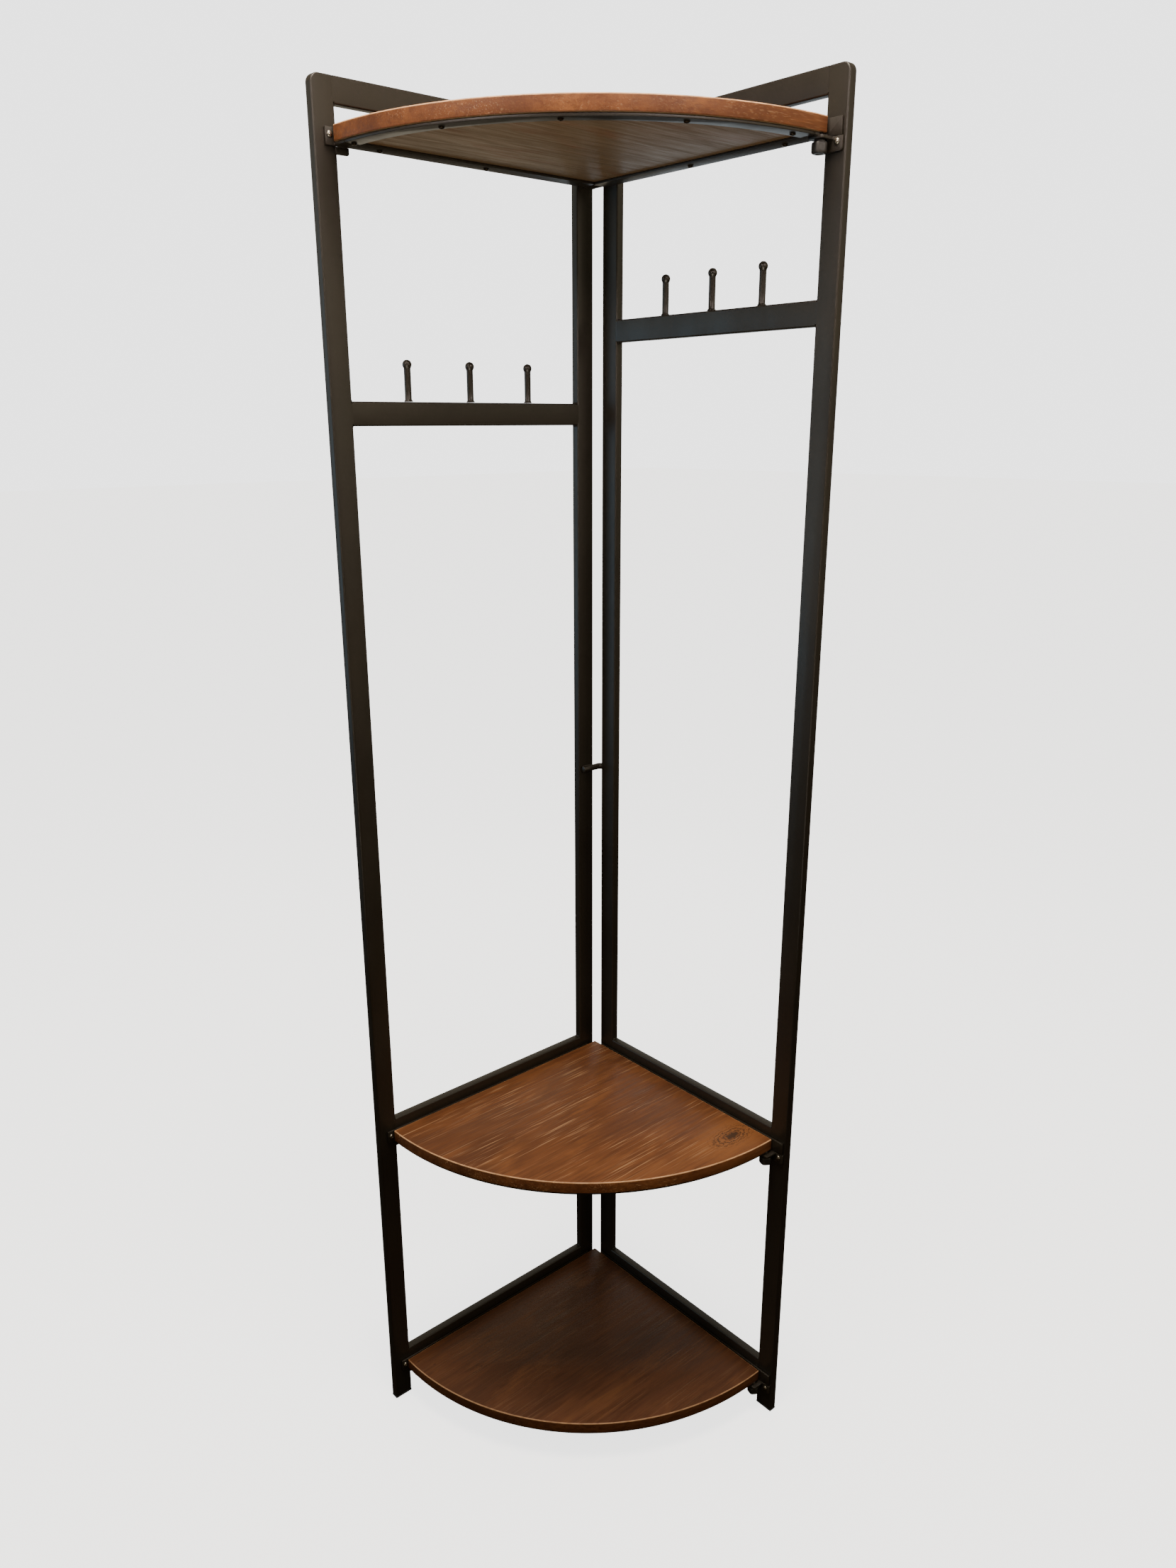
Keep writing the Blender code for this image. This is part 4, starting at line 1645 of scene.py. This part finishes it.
@dataclass
class Studio:
    """Floor, surroundings, lights and camera."""

    floor_side: float = 60.0
    lens: float = 26.7832
    shift: Plan = (0.009524, 0.014772)
    camera_place: Colour = (1.07431, -0.94559, 1.43489)
    camera_turn: float = 49.0173
    camera_pitch: float = 18.0891
    camera_roll: float = -0.3127
    backdrop: float = 2.8
    room: tuple[tuple[float, Colour], ...] = (
        (0.00, (0.020, 0.014, 0.009)),
        (0.24, (0.018, 0.010, 0.0045)),
        (0.37, (0.075, 0.056, 0.034)),
        (0.48, (0.155, 0.130, 0.090)),
        (0.58, (0.40, 0.345, 0.235)),
        (1.00, (0.36, 0.32, 0.25)),
    )
    lights: tuple[Softbox, ...] = (
        Softbox("key_above", (0.38, -0.38, 3.05), (-0.05, 0.05, 0.5), (0.8, 0.8), 54.0, (1.0, 0.88, 0.74)),
        Softbox("lamp_right", (2.15, -0.35, 2.6), (-0.02, 0.02, 1.80), (1.0, 0.6), 1.9, (1.0, 0.85, 0.80), 45.0),
        Softbox("lamp_left", (0.35, -2.15, 2.6), (-0.02, 0.02, 1.80), (1.0, 0.6), 1.9, (1.0, 0.85, 0.80), 45.0),
        Softbox("warm_wall", (2.6, 1.44, 2.15), (-0.19, -0.20, 1.6), (1.5, 1.6), 7.5, (1.0, 0.89, 0.62)),
        Softbox("cool_window", (-2.40, -2.45, 1.30), (0.10, 0.21, 1.3), (1.4, 1.9), 15.0, (0.45, 0.76, 1.0)),
        Softbox("upward_bounce", (0.75, -0.65, 0.75), (-0.02, 0.02, 1.74), (0.9, 0.9), 1.7, (1.0, 0.92, 0.76), 50.0),
        Softbox("warm_wall_behind", (-2.7, 1.35, 1.14), (-0.18, -0.18, 1.73), (1.2, 0.8), 3.6, (1.0, 0.90, 0.70)),
        Softbox("cool_wall_behind", (-1.7, 2.45, 1.14), (0.15, 0.18, 1.73), (1.2, 0.8), 4.2, (0.80, 0.92, 1.0)),
    )

    def floor(self) -> Piece:
        """Wide pale floor just under the feet; it shows only to the camera.

        Returns:
            The floor.
        """
        half = self.floor_side / 2
        mesh = bpy.data.meshes.new("studio_floor")
        corners = [(-half, -half, 0), (half, -half, 0), (half, half, 0), (-half, half, 0)]
        mesh.from_pydata(corners, [], [(0, 1, 2, 3)])
        mesh.materials.append(FloorPaint().make())
        obj = bpy.data.objects.new("studio_floor", mesh)
        bpy.context.scene.collection.objects.link(obj)
        obj.location.z = -0.0002
        obj.visible_diffuse = False
        obj.visible_glossy = False
        return obj

    def surroundings(self) -> None:
        """White to the camera; to the object a room that is light above and dark below."""
        world = bpy.data.worlds.new("studio")
        bpy.context.scene.world = world
        world.use_nodes = True
        world.node_tree.nodes.clear()
        wiring = Wiring(world.node_tree)
        split = wiring.node("ShaderNodeSeparateXYZ")
        wiring.feed(split.inputs[0], wiring.node("ShaderNodeTexCoord").outputs["Generated"])
        height = wiring.node("ShaderNodeMath", operation="MULTIPLY_ADD")
        for socket, value in zip(height.inputs, (split.outputs["Z"], 0.5, 0.5)):
            wiring.feed(socket, value)
        ramp = wiring.node("ShaderNodeValToRGB")
        wiring.feed(ramp.inputs[0], height.outputs[0])
        band = ramp.color_ramp
        while len(band.elements) < len(self.room):
            band.elements.new(0.5)
        for element, (place, colour) in zip(band.elements, self.room):
            element.position = place
            element.color = (*colour, 1.0)
        room, paper = wiring.node("ShaderNodeBackground"), wiring.node("ShaderNodeBackground")
        wiring.feed(room.inputs["Color"], ramp.outputs[0])
        wiring.feed(paper.inputs["Color"], (1.0, 1.0, 1.0, 1.0))
        wiring.feed(paper.inputs["Strength"], self.backdrop)
        blend = wiring.node("ShaderNodeMixShader")
        rays = wiring.node("ShaderNodeLightPath")
        parts = (rays.outputs["Is Camera Ray"], room.outputs[0], paper.outputs[0])
        for socket, value in zip(blend.inputs, parts):
            wiring.feed(socket, value)
        wiring.feed(wiring.node("ShaderNodeOutputWorld").inputs[0], blend.outputs[0])

    def camera(self) -> Piece:
        """Standing eye-height camera in front of the corner.

        Returns:
            The camera.
        """
        data = bpy.data.cameras.new("camera")
        data.lens = self.lens
        data.sensor_width = 36.0
        data.sensor_fit = "AUTO"
        data.shift_x, data.shift_y = self.shift
        data.dof.use_dof = False
        data.clip_start, data.clip_end = 0.01, 200.0
        obj = bpy.data.objects.new("camera", data)
        bpy.context.scene.collection.objects.link(obj)
        turn = Matrix.Rotation(math.radians(self.camera_turn), 4, "Z")
        tilt = Matrix.Rotation(math.radians(90.0 - self.camera_pitch), 4, "X")
        roll = Matrix.Rotation(math.radians(self.camera_roll), 4, "Z")
        obj.matrix_world = Matrix.Translation(self.camera_place) @ turn @ tilt @ roll
        bpy.context.scene.camera = obj
        return obj

    def build(self) -> list[Piece]:
        """Make the stage."""
        self.surroundings()
        return [self.floor(), *(light.build() for light in self.lights), self.camera()]


# ---- making it all
def clear_startup() -> None:
    """Remove what a new Blender file holds besides the frame."""
    kept = set(frame["nodes"].values()) | set(frame["bodies"].values())
    for obj in list(bpy.data.objects):
        if obj not in kept:
            bpy.data.objects.remove(obj, do_unlink=True)


def main() -> None:
    """Build the hall tree piece by piece and set the stage."""
    logging.basicConfig(level=logging.INFO, format="%(name)s %(message)s")
    clear_startup()
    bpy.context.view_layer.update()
    stage = Studio().build()
    LOG.info("stage: %s", ", ".join(obj.name for obj in stage))
    corner = Corner()
    palette = Palette()
    woods = {
        Level.TOP: RusticWood("rustic_wood_top", 3.1, scratched=0.25),
        Level.MIDDLE: RusticWood("rustic_wood_middle", 7.7, corner.at(0.347, 0.054), scratched=0.85),
        # The bottom board's colour is darkened to paint the shade that the middle shelf casts on it.
        Level.BOTTOM: RusticWood("rustic_wood_bottom", 12.4, scratched=0.22, painted_shade=0.62),
    }
    groups: list[WeldedPanel | HookPegs | CornerLinks | Shelf] = [
        WeldedPanel(Side.LEFT, corner, palette),
        WeldedPanel(Side.RIGHT, corner, palette),
        HookPegs(Side.LEFT, palette),
        HookPegs(Side.RIGHT, palette),
        CornerLinks(corner, palette),
    ]
    groups += [Shelf(level, corner, palette, woods[level]) for level in Level]
    for group in groups:
        for made in group.build():
            LOG.info("%s: %s, %d faces", type(group).__name__, made.name, len(made.data.polygons))


if __name__ == "__main__":
    main()
